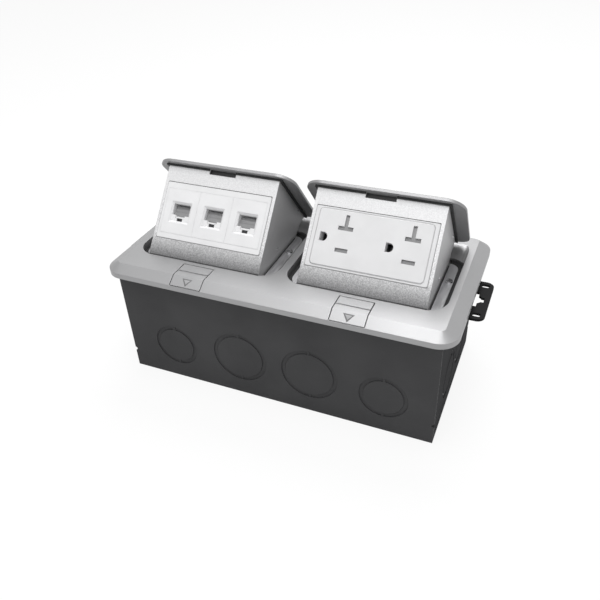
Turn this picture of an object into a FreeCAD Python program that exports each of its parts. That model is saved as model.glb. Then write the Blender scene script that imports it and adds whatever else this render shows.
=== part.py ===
"""Two-bay pop-up floor socket box, modelled with both socket modules swung open.

Frame: origin at the centre of the box bottom, +X along the long side, +Y to the
rear, +Z up.  Everything is in millimetres.  Each sub-part is written to its own
STEP file in parts/.
"""
import FreeCAD, Part
import math
import os

V = FreeCAD.Vector
X_AXIS = V(1, 0, 0)
Y_AXIS = V(0, 1, 0)
Z_AXIS = V(0, 0, 1)

# Steel back box, set in from the cover frame's edges
box_end_inset = 7.5
box_side_inset = 5.5
box_depth = 73.6
sheet = 1.6
box_flange_long = 6.0
box_flange_end = 3.4
end_flange = 10.0
end_flange_sheet = 1.2
corner_notch_r = 1.4
corner_notch_z = 13.6

# Knock-outs, stamped into the sheet
ko_small_d = 29.8
ko_large_d = 36.2
ko_push = 0.7
ko_small_from_end = 32.6
ko_large_share = 0.335
ko_shift_x = 1.9
ko_small_z = 26.1
ko_large_z = 29.3
ko_end_y = 17.0

# Cover frame, a casting that stands on the finished floor
gasket_thickness = 1.0
end_margin = 11.3
front_margin = 21.5
rear_margin = 15.6
rim_height = 3.5
bevel_height = 4.1
bevel_side = 7.6
bevel_front = 6.2
plate_corner_r = 12.0
flat_corner_r = 3.0
skin = 3.2
rim_wall_side = 5.5
rim_wall_front = 5.0
pocket_corner_r = 6.0
collar_wall = 2.2
collar_drop = 2.0
collar_drop_width = 64.0

# Bays and openings; the plate's margins lie around them
bay_bridge = 5.2
opening_side_space = 9.65
opening_length = 61.1
opening_front_r = 12.0
opening_rear_r = 9.0
dish_length = 13.8
dish_depth = 2.6
dish_side_r = 3.2
dish_floor = 3.0

# Hinge and swing
hinge_behind_opening = 10.2
hinge_below_floor = 7.1
open_angle = 50.0
hinge_pin_r = 2.0
hinge_running_gap = 0.05
pin_end = 0.5
knuckle_r = 6.5
swing_gap = 0.8

# Lid
lid_gap = 0.8
lid_thickness = 2.0
lid_front_r = 11.5
lid_rear_r = 7.4
lid_edge_chamfer = 0.5

# Module housing
face_margin = 2.3
module_wall = 1.5
lid_overhang = 3.9
face_lean = 9.8
rear_relief_r = 17.2
rear_relief_angle = 200.0
skirt_end_angle = 231.0
stop_ridge_height = 2.0
stop_ridge_thickness = 1.5
stop_ridge_width = 60.0
stop_gap = 0.4
notch_width = 18.1
notch_height = 3.1
notch_depth = 6.0
cavity_overshoot = 30.0
cavity_overturn_angle = 12.0

# Rubber ring under the lid
gasket_inner_gap = 0.1
gasket_width = 1.5
gasket_front_width = 0.7
lid_gasket_height = 1.2

# Insert window in the face, measured down from the face's top edge
window_margin = 2.45
window_top = 11.2
window_r = 1.0
insert_gap = 0.12
insert_proud = 0.4
insert_depth = 2.4

# Ledge brackets beside each module
side_gap = 0.7
ledge_inset = 2.8
ledge_below_flat = 3.6
ledge_sheet = 1.5
ledge_rear_room = 5.1
ledge_rear_r = 6.0
web_bottom = 20.0
web_top_rear = 3.2
web_rear_room = 1.3
web_front_room = 4.5
screw_from_front = 36.0
screw_r = 1.5
screw_hole_r = 1.7
screw_head_r = 2.2
screw_head_height = 1.1
screw_length = 20.0
lug_half_length = 5.0
tab_below_floor = 12.0
tab_half_width = 7.0
tab_leg = 12.0
tab_gap = 0.3
thread_fit = 0.03

# Springs and their rod
spring_rod_r = 1.5
spring_rod_offset_y = 7.0
spring_rod_drop = 6.9
spring_wire_r = 0.5
spring_mean_r = 3.0
spring_length = 5.0
spring_end_gap = 0.6
spring_hook_r = 12.0
spring_hook_angle = 205.0
spring_hook_room = 1.6
spring_rest_gap = 0.05
spring_rest_end = 2.0

# Release slide: button, bolt and return spring
button_width = 20.0
button_from_opening = 3.2
button_thickness = 1.6
button_gap = 0.5
button_front_edge = 0.3
slide_gap = 0.15
button_travel = 3.0
button_ridge_from_flat = 4.8
button_ridge_width = 1.4
button_ridge_height = 0.5
stem_width = 11.0
stem_length = 3.6
stem_from_bolt_front = 1.6
bolt_width = 14.0
bolt_thickness = 1.8
bolt_top = 3.3
bolt_front_room = 0.2
bolt_tip_from_opening = 0.6
bolt_ear_reach = 5.5
bolt_ear_length = 1.6
bolt_ear_from_opening = 5.9
keeper_sheet = 0.9
rail_width = 2.6
keeper_from_opening = 5.7
release_spring_r = 1.5
release_wire_r = 0.3
release_seat = 1.0
release_offset = 0.6

# Data insert: three socket plates
data_count = 3
data_side_margin = 1.65
data_plate_gap = 0.15
data_edge_top = 3.8
data_edge_bottom = 3.3
socket_width = 11.7
socket_top = 24.3
socket_height = 7.2
socket_step_width = 6.4
socket_step_height = 1.9
socket_key_width = 3.9
socket_key_height = 1.8
socket_bevel = 1.3
socket_bevel_depth = 1.2
socket_depth = 13.0
jack_width = 15.6
jack_height = 17.0
jack_depth = 27.0
jack_top = 21.6
contact_count = 8
contact_pitch = 1.02
contact_size = 0.4
contact_length = 8.5
contact_lean = 25.0
contact_gap = 0.3
contact_inset = 0.8

# Power insert: duplex receptacle lying on its side
decor_width = 66.8
decor_height = 33.3
decor_r = 2.5
decor_edge_top = 1.1
decor_edge_bottom = 1.3
decor_gap = 0.15
decor_proud = 0.9
decor_chamfer = 0.5
decor_back = 5.0
outlet_pitch = 38.9
ground_x = -27.9
blade_from_ground = 11.9
blade_spacing = 12.7
blade_centre = 28.95
ground_width = 4.8
ground_height = 5.3
bar_slot_length = 8.9
bar_slot_width = 2.4
stem_slot_length = 6.6
stem_slot_width = 2.2
line_slot_length = 7.6
line_slot_width = 2.3
blade_pocket_depth = 9.0
yoke_end_gap = 0.25
yoke_sheet = 1.2
yoke_window_rim = 1.0
yoke_side_rim = 2.5
yoke_screw_beyond_face = 1.3
yoke_screw_r = 1.0
yoke_screw_head_r = 1.7
body_end_inset = 2.4
body_side_inset = 1.15
receptacle_body_depth = 20.0
body_corner_r = 3.0
contact_sheet = 0.6

# Rear shroud with its cable hole
shroud_sheet = 1.2
shroud_gap = 0.4
shroud_bend_angle = 215.0
shroud_end_angle = 229.3
shroud_side_gap = 0.1
cable_hole_r = 9.0

# Striker plate behind the face notch
striker_width = 24.0
striker_sheet = 1.0
striker_drop = 7.0
striker_foot = 8.0

# Mounting ears
ear_reach = 15.4
ear_width = 38.6
ear_sheet = 1.5
ear_below_floor = 3.0
ear_corner_r = 4.5
ear_leg_drop = 20.0
ear_leg_width = 26.0
ear_slot_from_box = 10.6
ear_slot_y = 15.0
ear_slot_length = 5.0
ear_slot_r = 1.6
ear_hole_from_box = 6.6
ear_hole_r = 4.5
ear_cross_width = 4.4
ear_cross_reach_x = 5.6
ear_cross_reach_y = 7.2

# Centre divider
divider_clearance = 0.3
rod_end_room = 1.0

# Earthing screw in the box floor
earth_from_end = 22.0
earth_from_side = 14.5
earth_r = 2.4
earth_head_r = 4.2
earth_head_height = 2.6

# Widths from the widest insert outwards, then the openings, the plate and the box
window_width = decor_width + 2 * window_margin
window_height = decor_height + decor_edge_top + decor_edge_bottom
module_width = window_width + 2 * face_margin
opening_width = module_width + 2 * opening_side_space
half_module = module_width / 2
half_opening = opening_width / 2
inner_half = half_module - module_wall
bay_centre = (opening_width + bay_bridge) / 2
plate_length = 2 * (bay_centre + half_opening + end_margin)
plate_width = front_margin + opening_length + dish_length + rear_margin
box_length = plate_length - 2 * box_end_inset
box_width = plate_width - 2 * box_side_inset
plate_front = -plate_width / 2
opening_front = plate_front + front_margin
opening_rear = opening_front + opening_length
dish_rear = opening_rear + dish_length
hinge_y = opening_rear + hinge_behind_opening

# Places on the box and the ears
ko_small_x = box_length / 2 - ko_small_from_end
ko_large_x = ko_small_x * ko_large_share
ear_slot_x = box_length / 2 + ear_slot_from_box
ear_hole_x = box_length / 2 + ear_hole_from_box
earth_x = -box_length / 2 + earth_from_end
earth_y = box_width / 2 - earth_from_side

# Places on the inserts, down from the face's top edge
data_pitch = (window_width - 2 * data_side_margin) / data_count
data_top = window_top + data_edge_top
data_height = window_height - data_edge_top - data_edge_bottom
decor_top = window_top + decor_edge_top
receptacle_body_width = decor_width - 2 * body_end_inset
receptacle_body_height = decor_height - 2 * body_side_inset
yoke_length = 2 * (inner_half - yoke_end_gap)
yoke_width = receptacle_body_height
yoke_window_length = receptacle_body_width - 2 * yoke_window_rim
yoke_window_width = receptacle_body_height - 2 * yoke_side_rim
yoke_screw_x = decor_width / 2 + yoke_screw_beyond_face

# Places of the ledges and the release slide
ledge_rear = opening_rear - ledge_rear_room
web_rear = box_width / 2 - sheet - web_rear_room
web_front = opening_front + web_front_room
screw_y = opening_front + screw_from_front
button_rear = opening_front - button_from_opening
button_ridge_y = plate_front + bevel_front + button_ridge_from_flat
bolt_front = plate_front + rim_wall_front + button_travel + bolt_front_room
bolt_tip = opening_front - bolt_tip_from_opening
bolt_ear_front = opening_front - bolt_ear_from_opening
stem_front = bolt_front + stem_from_bolt_front
stem_rear = stem_front + stem_length
keeper_front = opening_front - keeper_from_opening

# Levels and places worked out from the sizes above
floor_z = box_depth + gasket_thickness
rim_z = floor_z + rim_height
flat_z = rim_z + bevel_height
hinge_z = floor_z - hinge_below_floor
lid_under_z = flat_z - lid_thickness
lid_front = opening_front + lid_gap
lid_rear = opening_rear - lid_gap
half_lid = half_opening - lid_gap
ledge_top_z = flat_z - ledge_below_flat
ledge_inner_x = half_module + side_gap
ledge_outer_x = half_opening - ledge_inset
pin_reach = ledge_inner_x + ledge_sheet + pin_end
screw_x = (ledge_inner_x + ledge_sheet + ledge_outer_x) / 2
tab_top_z = floor_z - tab_below_floor
skirt_r = math.hypot(lid_front - hinge_y, flat_z - hinge_z)
relief_r = skirt_r + swing_gap
face_top = (lid_front + lid_overhang, lid_under_z)


def block(x0, x1, y0, y1, z0, z1):
    return Part.makeBox(x1 - x0, y1 - y0, z1 - z0, V(x0, y0, z0))


def rod(radius, start, end):
    way = end - start
    return Part.makeCylinder(radius, way.Length, start, way)


def flatted_rod(radius, start, end, flats=8):
    """Rod with flats, for hidden shanks and holes; the radius is that of its corners."""
    way = end - start
    side = V(0, way.z, -way.y) if abs(way.x) < abs(way.z) + abs(way.y) else V(-way.z, 0, way.x)
    side = side / side.Length
    corners = []
    for index in range(flats + 1):
        turn = FreeCAD.Rotation(way, 360 * (index + 0.5) / flats)
        corners.append(start + turn.multVec(side) * radius)
    return Part.Face(Part.makePolygon(corners)).extrude(way)


def across_flats(radius, flats=8):
    """Corner radius of a flatted hole that leaves that radius free."""
    return radius / math.cos(math.pi / flats)


def outline(x0, x1, y0, y1, radii, z):
    """Rounded rectangle; radii go front-left, front-right, rear-right, rear-left."""
    corners = ((x0, y0, 1, 1, 180), (x1, y0, -1, 1, 270), (x1, y1, -1, -1, 0), (x0, y1, 1, -1, 90))
    edges = []
    ends = []
    for (cx, cy, sx, sy, start), r in zip(corners, radii):
        centre = V(cx + sx * r, cy + sy * r, z)
        points = []
        for turn in (0, 45, 90):
            angle = math.radians(start + turn)
            points.append(centre + V(r * math.cos(angle), r * math.sin(angle), 0))
        ends.append(points)
    for index, points in enumerate(ends):
        edges.append(Part.Arc(*points).toShape())
        following = ends[(index + 1) % 4][0]
        if (following - points[2]).Length > 1e-6:
            edges.append(Part.LineSegment(points[2], following).toShape())
    return Part.Wire(edges)


def rounded_block(x0, x1, y0, y1, radii, z0, z1):
    if not isinstance(radii, tuple):
        radii = (radii,) * 4
    return Part.Face(outline(x0, x1, y0, y1, radii, z0)).extrude(V(0, 0, z1 - z0))


def side_profile(steps, x0, x1):
    """Solid from a closed profile in the YZ plane; a step is (y, z) or (middle, end) of an arc."""
    edges = []
    here = V(x0, *steps[0])
    first = here
    for step in steps[1:] + [steps[0]]:
        if isinstance(step[0], tuple):
            middle, end = (V(x0, *point) for point in step)
            edges.append(Part.Arc(here, middle, end).toShape())
        else:
            end = V(x0, *step)
            if (end - here).Length < 1e-6:
                continue
            edges.append(Part.LineSegment(here, end).toShape())
        here = end
    if (here - first).Length > 1e-6:
        edges.append(Part.LineSegment(here, first).toShape())
    return Part.Face(Part.Wire(edges)).extrude(V(x1 - x0, 0, 0))


def about_hinge(radius, degrees):
    """Point (y, z) at an angle about the hinge, counted from +Y towards +Z, with the lid shut."""
    angle = math.radians(degrees)
    return hinge_y + radius * math.cos(angle), hinge_z + radius * math.sin(angle)


def hinge_arc(radius, start, end):
    return about_hinge(radius, (start + end) / 2), about_hinge(radius, end)


def hinge_angle(point):
    return math.degrees(math.atan2(point[1] - hinge_z, point[0] - hinge_y)) % 360


def swing_open(shape):
    """Turn a piece drawn with the lid shut to the open, stored pose."""
    turned = shape.copy()
    turned.rotate(V(0, hinge_y, hinge_z), X_AXIS, -open_angle)
    return turned


def on_face(shape):
    """Carry a piece from face coordinates to the open module.

    Face coordinates: X along the face, Y up the face from its top edge (so the
    face is at negative Y), Z outwards from the face.
    """
    placed = shape.copy()
    placed.rotate(V(0, 0, 0), X_AXIS, 90 + face_lean)
    placed.translate(V(0, face_top[0], face_top[1]))
    return swing_open(placed)


def face_box(x0, x1, down0, down1, back, front):
    return block(x0, x1, -down1, -down0, back, front)


def face_rounded(width, down0, down1, radius, back, front):
    return rounded_block(-width / 2, width / 2, -down1, -down0, radius, back, front)


def moved(shape, x=0.0, y=0.0, z=0.0):
    copy = shape.copy()
    copy.translate(V(x, y, z))
    return copy


def mirrored(shape):
    return shape.mirror(V(0, 0, 0), X_AXIS)


def close_wound(mean_r, wire_r, start, end):
    """Close-wound coil, drawn as the plain twelve-sided sleeve that its turns make together."""
    outer = flatted_rod(mean_r + wire_r, start, end, 12)
    return outer.cut(flatted_rod(mean_r - wire_r, start, end, 12))


def knockout(x, z, diameter, wall_y, inward):
    """Cutter of one knock-out, stamped into a wall whose outer face is at wall_y."""
    return Part.makeCylinder(diameter / 2, ko_push, V(x, wall_y, z), V(0, inward, 0))


def back_box():
    half_l, half_w = box_length / 2, box_width / 2
    flange_half = half_l - box_flange_end - 0.4
    body = block(-half_l, half_l, -half_w, half_w, 0, sheet)
    for side in (-1, 1):
        wall = block(-half_l, half_l, -half_w, -half_w + sheet, 0, box_depth)
        flange = block(-flange_half, flange_half, -half_w, -half_w + box_flange_long,
                       box_depth - sheet, box_depth)
        wall = wall.fuse(flange)
        if side > 0:
            wall = wall.mirror(V(0, 0, 0), Y_AXIS)
        places = ((-ko_small_x, ko_small_z, ko_small_d), (-ko_large_x, ko_large_z, ko_large_d),
                  (ko_large_x, ko_large_z, ko_large_d), (ko_small_x, ko_small_z, ko_small_d))
        for x, z, diameter in places:
            wall = wall.cut(knockout(x + ko_shift_x, z, diameter, side * half_w, -side))
        body = body.fuse(wall)
    for x in (-half_l, half_l):
        body = body.cut(Part.makeCylinder(corner_notch_r, box_width, V(x, -half_w, corner_notch_z), Y_AXIS))
    body = body.cut(flatted_rod(earth_r, V(earth_x, earth_y, -1), V(earth_x, earth_y, sheet + 1)))
    return body.removeSplitter()


def box_end(side):
    """End wall with flanges folded in against the floor and the long walls."""
    outer = box_length / 2
    inner = outer - sheet
    half_w = box_width / 2 - sheet
    plate = block(inner, outer, -half_w, half_w, sheet, box_depth)
    for y0, y1 in ((-half_w, -half_w + end_flange_sheet), (half_w - end_flange_sheet, half_w)):
        plate = plate.fuse(block(outer - end_flange, inner, y0, y1, sheet, box_depth - sheet - 2))
    plate = plate.fuse(block(outer - end_flange, inner, -half_w + 4, half_w - 4, sheet, sheet + end_flange_sheet))
    top = block(outer - box_flange_end, inner, -half_w + box_flange_long, half_w - box_flange_long,
                box_depth - sheet, box_depth)
    plate = plate.fuse(top)
    for y in (-ko_end_y, ko_end_y):
        cutter = knockout(y, ko_small_z, ko_small_d, -outer, 1)
        cutter.rotate(V(0, 0, 0), Z_AXIS, 90)
        plate = plate.cut(cutter)
    plate = plate.removeSplitter()
    return plate if side > 0 else mirrored(plate)


def mounting_ear(side):
    wall = box_length / 2
    top_z = floor_z - ear_below_floor
    tip = wall + ear_reach
    half = ear_width / 2
    tab = rounded_block(wall, tip, -half, half, (0.5, ear_corner_r, ear_corner_r, 0.5),
                        top_z - ear_sheet, top_z)
    leg = block(wall, wall + ear_sheet, -ear_leg_width / 2, ear_leg_width / 2,
                top_z - ear_leg_drop, top_z - ear_sheet / 2)
    ear = tab.fuse(leg)
    below, above = top_z - ear_sheet - 1, top_z + 1
    for y in (-ear_slot_y, ear_slot_y):
        slot = rounded_block(ear_slot_x - ear_slot_length / 2, ear_slot_x + ear_slot_length / 2,
                             y - ear_slot_r, y + ear_slot_r, ear_slot_r - 0.001, below, above)
        ear = ear.cut(slot)
    hole = rod(ear_hole_r, V(ear_hole_x, 0, below), V(ear_hole_x, 0, above))
    arm_x = block(ear_hole_x, ear_hole_x + ear_cross_reach_x, -ear_cross_width / 2, ear_cross_width / 2,
                  below, above)
    arm_y = block(ear_hole_x - ear_cross_width / 2, ear_hole_x + ear_cross_width / 2,
                  -ear_cross_reach_y, ear_cross_reach_y, below, above)
    ear = ear.cut(hole.fuse(arm_x).fuse(arm_y))
    ear = ear.removeSplitter()
    return ear if side > 0 else mirrored(ear)


def flange_gasket():
    half_l, half_w = box_length / 2, box_width / 2
    ring = block(-half_l, half_l, -half_w, half_w, box_depth, floor_z)
    inside = block(-half_l + box_flange_end, half_l - box_flange_end,
                   -half_w + box_flange_long, half_w - box_flange_long, box_depth - 1, floor_z + 1)
    return ring.cut(inside)


def centre_divider():
    """Web between the bays; its top steps in where the ends of the spring rods reach over."""
    half_w = box_width / 2 - sheet
    web = block(-sheet / 2, sheet / 2, -half_w, half_w, sheet, tab_top_z)
    reach = bay_centre - ledge_inner_x - ledge_sheet - divider_clearance
    rear_reach = bay_centre - pin_reach - divider_clearance
    step_y = spring_rod_place()[0] - spring_rod_r - rod_end_room
    top = block(-reach, reach, -half_w, step_y, tab_top_z - sheet, tab_top_z)
    rear_top = block(-rear_reach, rear_reach, step_y - 1, half_w, tab_top_z - sheet, tab_top_z)
    divider = web.fuse(top).fuse(rear_top)
    for side in (-1, 1):
        divider = divider.cut(frame_screw_hole(side * (bay_centre - screw_x), screw_r + thread_fit))
    return divider.removeSplitter()


def frame_screw_hole(x, radius):
    return flatted_rod(radius, V(x, screw_y, tab_top_z - sheet - 1), V(x, screw_y, flat_z))


def fixing_tabs():
    """Two angle tabs, welded to the end walls, that take the outer frame screws."""
    inner = box_length / 2 - sheet
    start = bay_centre + ledge_inner_x + ledge_sheet + tab_gap
    y0, y1 = screw_y - tab_half_width, screw_y + tab_half_width
    shelf = block(start, inner, y0, y1, tab_top_z - sheet, tab_top_z)
    leg = block(inner - sheet, inner, y0, y1, tab_top_z - tab_leg, tab_top_z)
    tab = shelf.fuse(leg).cut(frame_screw_hole(bay_centre + screw_x, screw_r + thread_fit)).removeSplitter()
    return Part.makeCompound([tab, mirrored(tab)])


def earth_screw():
    base = V(earth_x, earth_y, sheet)
    shank = flatted_rod(earth_r - thread_fit, V(earth_x, earth_y, 0.2), base)
    corners = []
    for index in range(7):
        angle = math.radians(60 * index)
        corners.append(base + V(earth_head_r * math.cos(angle), earth_head_r * math.sin(angle), 0))
    head = Part.Face(Part.makePolygon(corners)).extrude(V(0, 0, earth_head_height))
    return shank.fuse(head).removeSplitter()


def bay_opening_cutter():
    """Through opening of one bay, with the front wall relieved for the swinging skirt."""
    radii = (opening_front_r, opening_front_r, opening_rear_r, opening_rear_r)
    through = rounded_block(-half_opening, half_opening, opening_front, opening_rear, radii,
                            floor_z - 6, flat_z + 1)
    swing_half = half_module + 0.4
    swept = Part.makeCylinder(relief_r, 2 * swing_half, V(-swing_half, hinge_y, hinge_z), X_AXIS)
    near_front = block(-swing_half, swing_half, opening_front - 6, 0, floor_z - 6, flat_z + 1)
    arm_room = block(-half_opening, half_opening, opening_rear - 1, dish_rear, floor_z - 6, floor_z + dish_floor)
    return through.fuse(swept.common(near_front)).fuse(arm_room)


def dish_cutter():
    """Dish behind the opening: level at the opening, then rising in an arc, with rounded ends."""
    low = flat_z - dish_depth
    top = low + 3 * dish_side_r
    start = opening_rear - opening_rear_r - 1
    radius = (dish_length ** 2 + dish_depth ** 2) / (2 * dish_depth)
    turn = math.acos((radius - (top - low)) / radius)
    middle = (opening_rear + radius * math.sin(turn / 2), low + radius * (1 - math.cos(turn / 2)))
    end = (opening_rear + radius * math.sin(turn), top)
    cutter = side_profile([(start, low), (opening_rear, low), (middle, end), (start, top)],
                          -half_opening, half_opening)
    foot_edges = []
    for edge in cutter.Edges:
        box = edge.BoundBox
        if box.XLength < 1e-6 and box.YLength > 1 and box.ZMin < low + 0.01:
            foot_edges.append(edge)
    return cutter.makeFillet(dish_side_r, foot_edges)


def under_bevel(depth, z):
    """Y of the line that lies that deep under the front bevel, at height z."""
    slope = math.hypot(bevel_front, bevel_height)
    return plate_front + ((z - rim_z) * bevel_front + depth * slope) / bevel_height


def button_profile():
    """Profile that follows the flat and the front bevel and ends at the rim."""
    low = flat_z - button_thickness
    blunt = button_front_edge
    return [(button_rear, flat_z), (under_bevel(0, flat_z), flat_z), (under_bevel(0, rim_z + blunt), rim_z + blunt),
            (under_bevel(0, rim_z + blunt), rim_z), (under_bevel(button_thickness, rim_z), rim_z),
            (under_bevel(button_thickness, low), low), (button_rear, low)]


def button_pocket():
    """Room for the button, its stem and the bolt, cut from the casting."""
    half = button_width / 2 + button_gap
    front = plate_front - 4
    rear = button_rear + button_gap
    depth = button_thickness + slide_gap
    low = flat_z - depth
    sill = rim_z - slide_gap
    pocket = side_profile([(rear, flat_z + 2), (front, flat_z + 2), (front, sill), (under_bevel(depth, sill), sill),
                           (under_bevel(depth, low), low), (rear, low)], -half, half)
    slot = block(-stem_width / 2 - button_gap, stem_width / 2 + button_gap,
                 stem_front - button_travel - button_gap, stem_rear + button_gap, floor_z, flat_z)
    bolt_path = block(-bolt_width / 2 - button_gap, bolt_width / 2 + button_gap, stem_front, opening_front + 2,
                      floor_z + bolt_top - bolt_thickness - slide_gap, floor_z + bolt_top + slide_gap)
    return pocket.fuse(slot).fuse(bolt_path)


def plate_body():
    half_l, half_w = plate_length / 2, plate_width / 2
    low = rounded_block(-half_l, half_l, -half_w, half_w, plate_corner_r, floor_z, rim_z)
    rim_wire = outline(-half_l, half_l, -half_w, half_w, (plate_corner_r,) * 4, rim_z)
    flat_wire = outline(-half_l + bevel_side, half_l - bevel_side, -half_w + bevel_front,
                        half_w - bevel_front, (flat_corner_r,) * 4, flat_z)
    bevel = Part.makeLoft([rim_wire, flat_wire], True, True)
    body = low.fuse(bevel)
    hollow = rounded_block(-half_l + rim_wall_side, half_l - rim_wall_side, -half_w + rim_wall_front,
                           half_w - rim_wall_front, pocket_corner_r, floor_z - 1, flat_z - skin)
    return body.cut(hollow)


def trim_frame():
    body = plate_body()
    top_z = flat_z - skin + 0.2
    for side in (-1, 1):
        x = side * bay_centre
        reach = half_opening + collar_wall
        collar = rounded_block(x - reach, x + reach, opening_front - collar_wall, dish_rear + collar_wall,
                               (opening_front_r, opening_front_r, opening_rear_r, opening_rear_r),
                               floor_z, top_z)
        drop = block(x - collar_drop_width / 2, x + collar_drop_width / 2, opening_front - collar_wall,
                     opening_front + 2, floor_z - collar_drop, floor_z + 1)
        body = body.fuse(collar).fuse(drop)
        body = body.cut(moved(bay_opening_cutter(), x)).cut(moved(dish_cutter(), x))
        for hand in (-1, 1):
            lug_x0 = x + hand * (ledge_inner_x + ledge_sheet + tab_gap)
            lug_x1 = x + hand * (half_opening + collar_wall / 2)
            lug = block(min(lug_x0, lug_x1), max(lug_x0, lug_x1), screw_y - lug_half_length,
                        screw_y + lug_half_length, floor_z, ledge_top_z - ledge_sheet)
            body = body.fuse(lug)
            body = body.cut(flatted_rod(screw_hole_r, V(x + hand * screw_x, screw_y, floor_z - 5),
                                        V(x + hand * screw_x, screw_y, ledge_top_z)))
        seat_x = x + bolt_width / 2 + bolt_ear_reach / 2
        wall_y = plate_front + rim_wall_front
        seat = block(seat_x - 2.5, seat_x + 2.5, wall_y - 0.5, wall_y + release_seat, floor_z, top_z)
        rail_low = floor_z + bolt_top - bolt_thickness
        left = x - bolt_width / 2 - button_gap
        right = x + bolt_width / 2 + bolt_ear_reach + button_gap
        rails = []
        for x0, x1 in ((left - rail_width, left), (right, right + rail_width)):
            rails.append(block(x0, x1, keeper_front, opening_front - collar_wall / 2, rail_low, top_z))
        for piece in [seat] + rails:
            body = body.fuse(piece)
        body = body.cut(moved(button_pocket(), x))
    return body.removeSplitter()


def ledge_bracket():
    """Right-hand bracket of a bay: the visible ledge and the web that carries the hinge pin."""
    front_r = opening_front_r - ledge_inset
    ledge = rounded_block(-ledge_outer_x, ledge_outer_x, opening_front + ledge_inset, ledge_rear,
                          (front_r, front_r, ledge_rear_r, ledge_rear_r), ledge_top_z - ledge_sheet, ledge_top_z)
    ledge = ledge.common(block(ledge_inner_x, plate_length, -plate_width, plate_width, floor_z, flat_z))
    low = floor_z - web_bottom
    rear_top = floor_z - web_top_rear
    tail = knuckle_r + 2
    web = side_profile([(web_front, ledge_top_z - ledge_sheet / 2), (web_front, low + 8), (web_front + 8, low),
                        (web_rear - 4, low), (web_rear, low + 4), (web_rear, rear_top), (ledge_rear + 1, rear_top),
                        (ledge_rear - 1, ledge_top_z - ledge_sheet / 2)],
                       ledge_inner_x, ledge_inner_x + ledge_sheet)
    window = side_profile([(web_front + 9, floor_z - 4), (web_front + 13, low + 5), (hinge_y - tail - 4, low + 5),
                           (hinge_y - tail, floor_z - 4)], ledge_inner_x - 1, ledge_inner_x + 3)
    bracket = ledge.fuse(web).cut(window)
    near, far = ledge_inner_x - 1, ledge_inner_x + 3
    bracket = bracket.cut(rod(hinge_pin_r, V(near, hinge_y, hinge_z), V(far, hinge_y, hinge_z)))
    rod_y, rod_z = spring_rod_place()
    bracket = bracket.cut(flatted_rod(spring_rod_r, V(near, rod_y, rod_z), V(far, rod_y, rod_z)))
    screw_hole = flatted_rod(screw_hole_r, V(screw_x, screw_y, ledge_top_z - 4), V(screw_x, screw_y, flat_z))
    return bracket.cut(screw_hole).removeSplitter()


def frame_screws():
    screws = []
    for side in (-1, 1):
        for hand in (-1, 1):
            x = side * bay_centre + hand * screw_x
            seat = V(x, screw_y, ledge_top_z)
            head = Part.makeCylinder(screw_head_r, screw_head_height, seat)
            shank = flatted_rod(screw_r, seat - Z_AXIS * screw_length, seat)
            screws.append(head.fuse(shank).removeSplitter())
    return Part.makeCompound(screws)


def hinge_pin():
    return rod(hinge_pin_r, V(-pin_reach, hinge_y, hinge_z), V(pin_reach, hinge_y, hinge_z))


def spring_rod_place():
    return hinge_y + spring_rod_offset_y, hinge_z - spring_rod_drop


def spring_rod():
    y, z = spring_rod_place()
    return flatted_rod(spring_rod_r, V(-pin_reach, y, z), V(pin_reach, y, z))


def wire_leg(x, start, end):
    """Straight leg of bent wire in the YZ plane at x, drawn square."""
    half = spring_wire_r
    way = V(0, end[0] - start[0], end[1] - start[1])
    across = V(0, -way.z, way.y) * (half / way.Length)
    a, b = V(0, *start), V(0, *end)
    corners = [a + across, b + across, b - across, a - across]
    return side_profile([(corner.y, corner.z) for corner in corners], x - half, x + half)


def torsion_spring():
    """Spring beside the right-hand arm: one leg hooks the arm, the other the spring rod."""
    half = spring_wire_r
    start_x = inner_half - spring_length - spring_end_gap
    end_x = start_x + spring_length
    coil = close_wound(spring_mean_r, half, V(start_x, hinge_y, hinge_z), V(end_x, hinge_y, hinge_z))
    hook_angle = spring_hook_angle - open_angle
    hook = about_hinge(spring_hook_r, hook_angle)
    leaves = hook_angle + math.degrees(math.acos(spring_mean_r / spring_hook_r))
    leg = wire_leg(end_x - half, about_hinge(spring_mean_r, leaves), hook)
    tip = block(end_x - 2 * half, half_module - side_gap, hook[0] - half, hook[0] + half,
                hook[1] - half, hook[1] + half)
    rod_y, rod_z = spring_rod_place()
    reach = spring_rod_r + half + spring_rest_gap
    distance = math.hypot(rod_y - hinge_y, rod_z - hinge_z)
    below = hinge_angle((rod_y, rod_z)) - math.degrees(math.acos((spring_mean_r - reach) / distance))
    normal = math.radians(below)
    rest = (rod_y + reach * math.cos(normal) - spring_rest_end * math.sin(normal),
            rod_z + reach * math.sin(normal) + spring_rest_end * math.cos(normal))
    rest_leg = wire_leg(start_x + half, about_hinge(spring_mean_r, below), rest)
    return coil.fuse(leg).fuse(tip).fuse(rest_leg).removeSplitter()


def skirt_join_angle():
    """Angle about the hinge at which the flat face meets the curved skirt."""
    lean = math.radians(face_lean)
    dy, dz = math.sin(lean), -math.cos(lean)
    ay, az = face_top[0] - hinge_y, face_top[1] - hinge_z
    along = ay * dy + az * dz
    length = -along + math.sqrt(along * along - (ay * ay + az * az - skirt_r * skirt_r))
    return hinge_angle((face_top[0] + dy * length, face_top[1] + dz * length))


def arm_tangent(radius, degrees, hand):
    """Tangent point on the knuckle seen from a point at that radius and angle."""
    return degrees + hand * math.degrees(math.acos(knuckle_r / radius))


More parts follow.
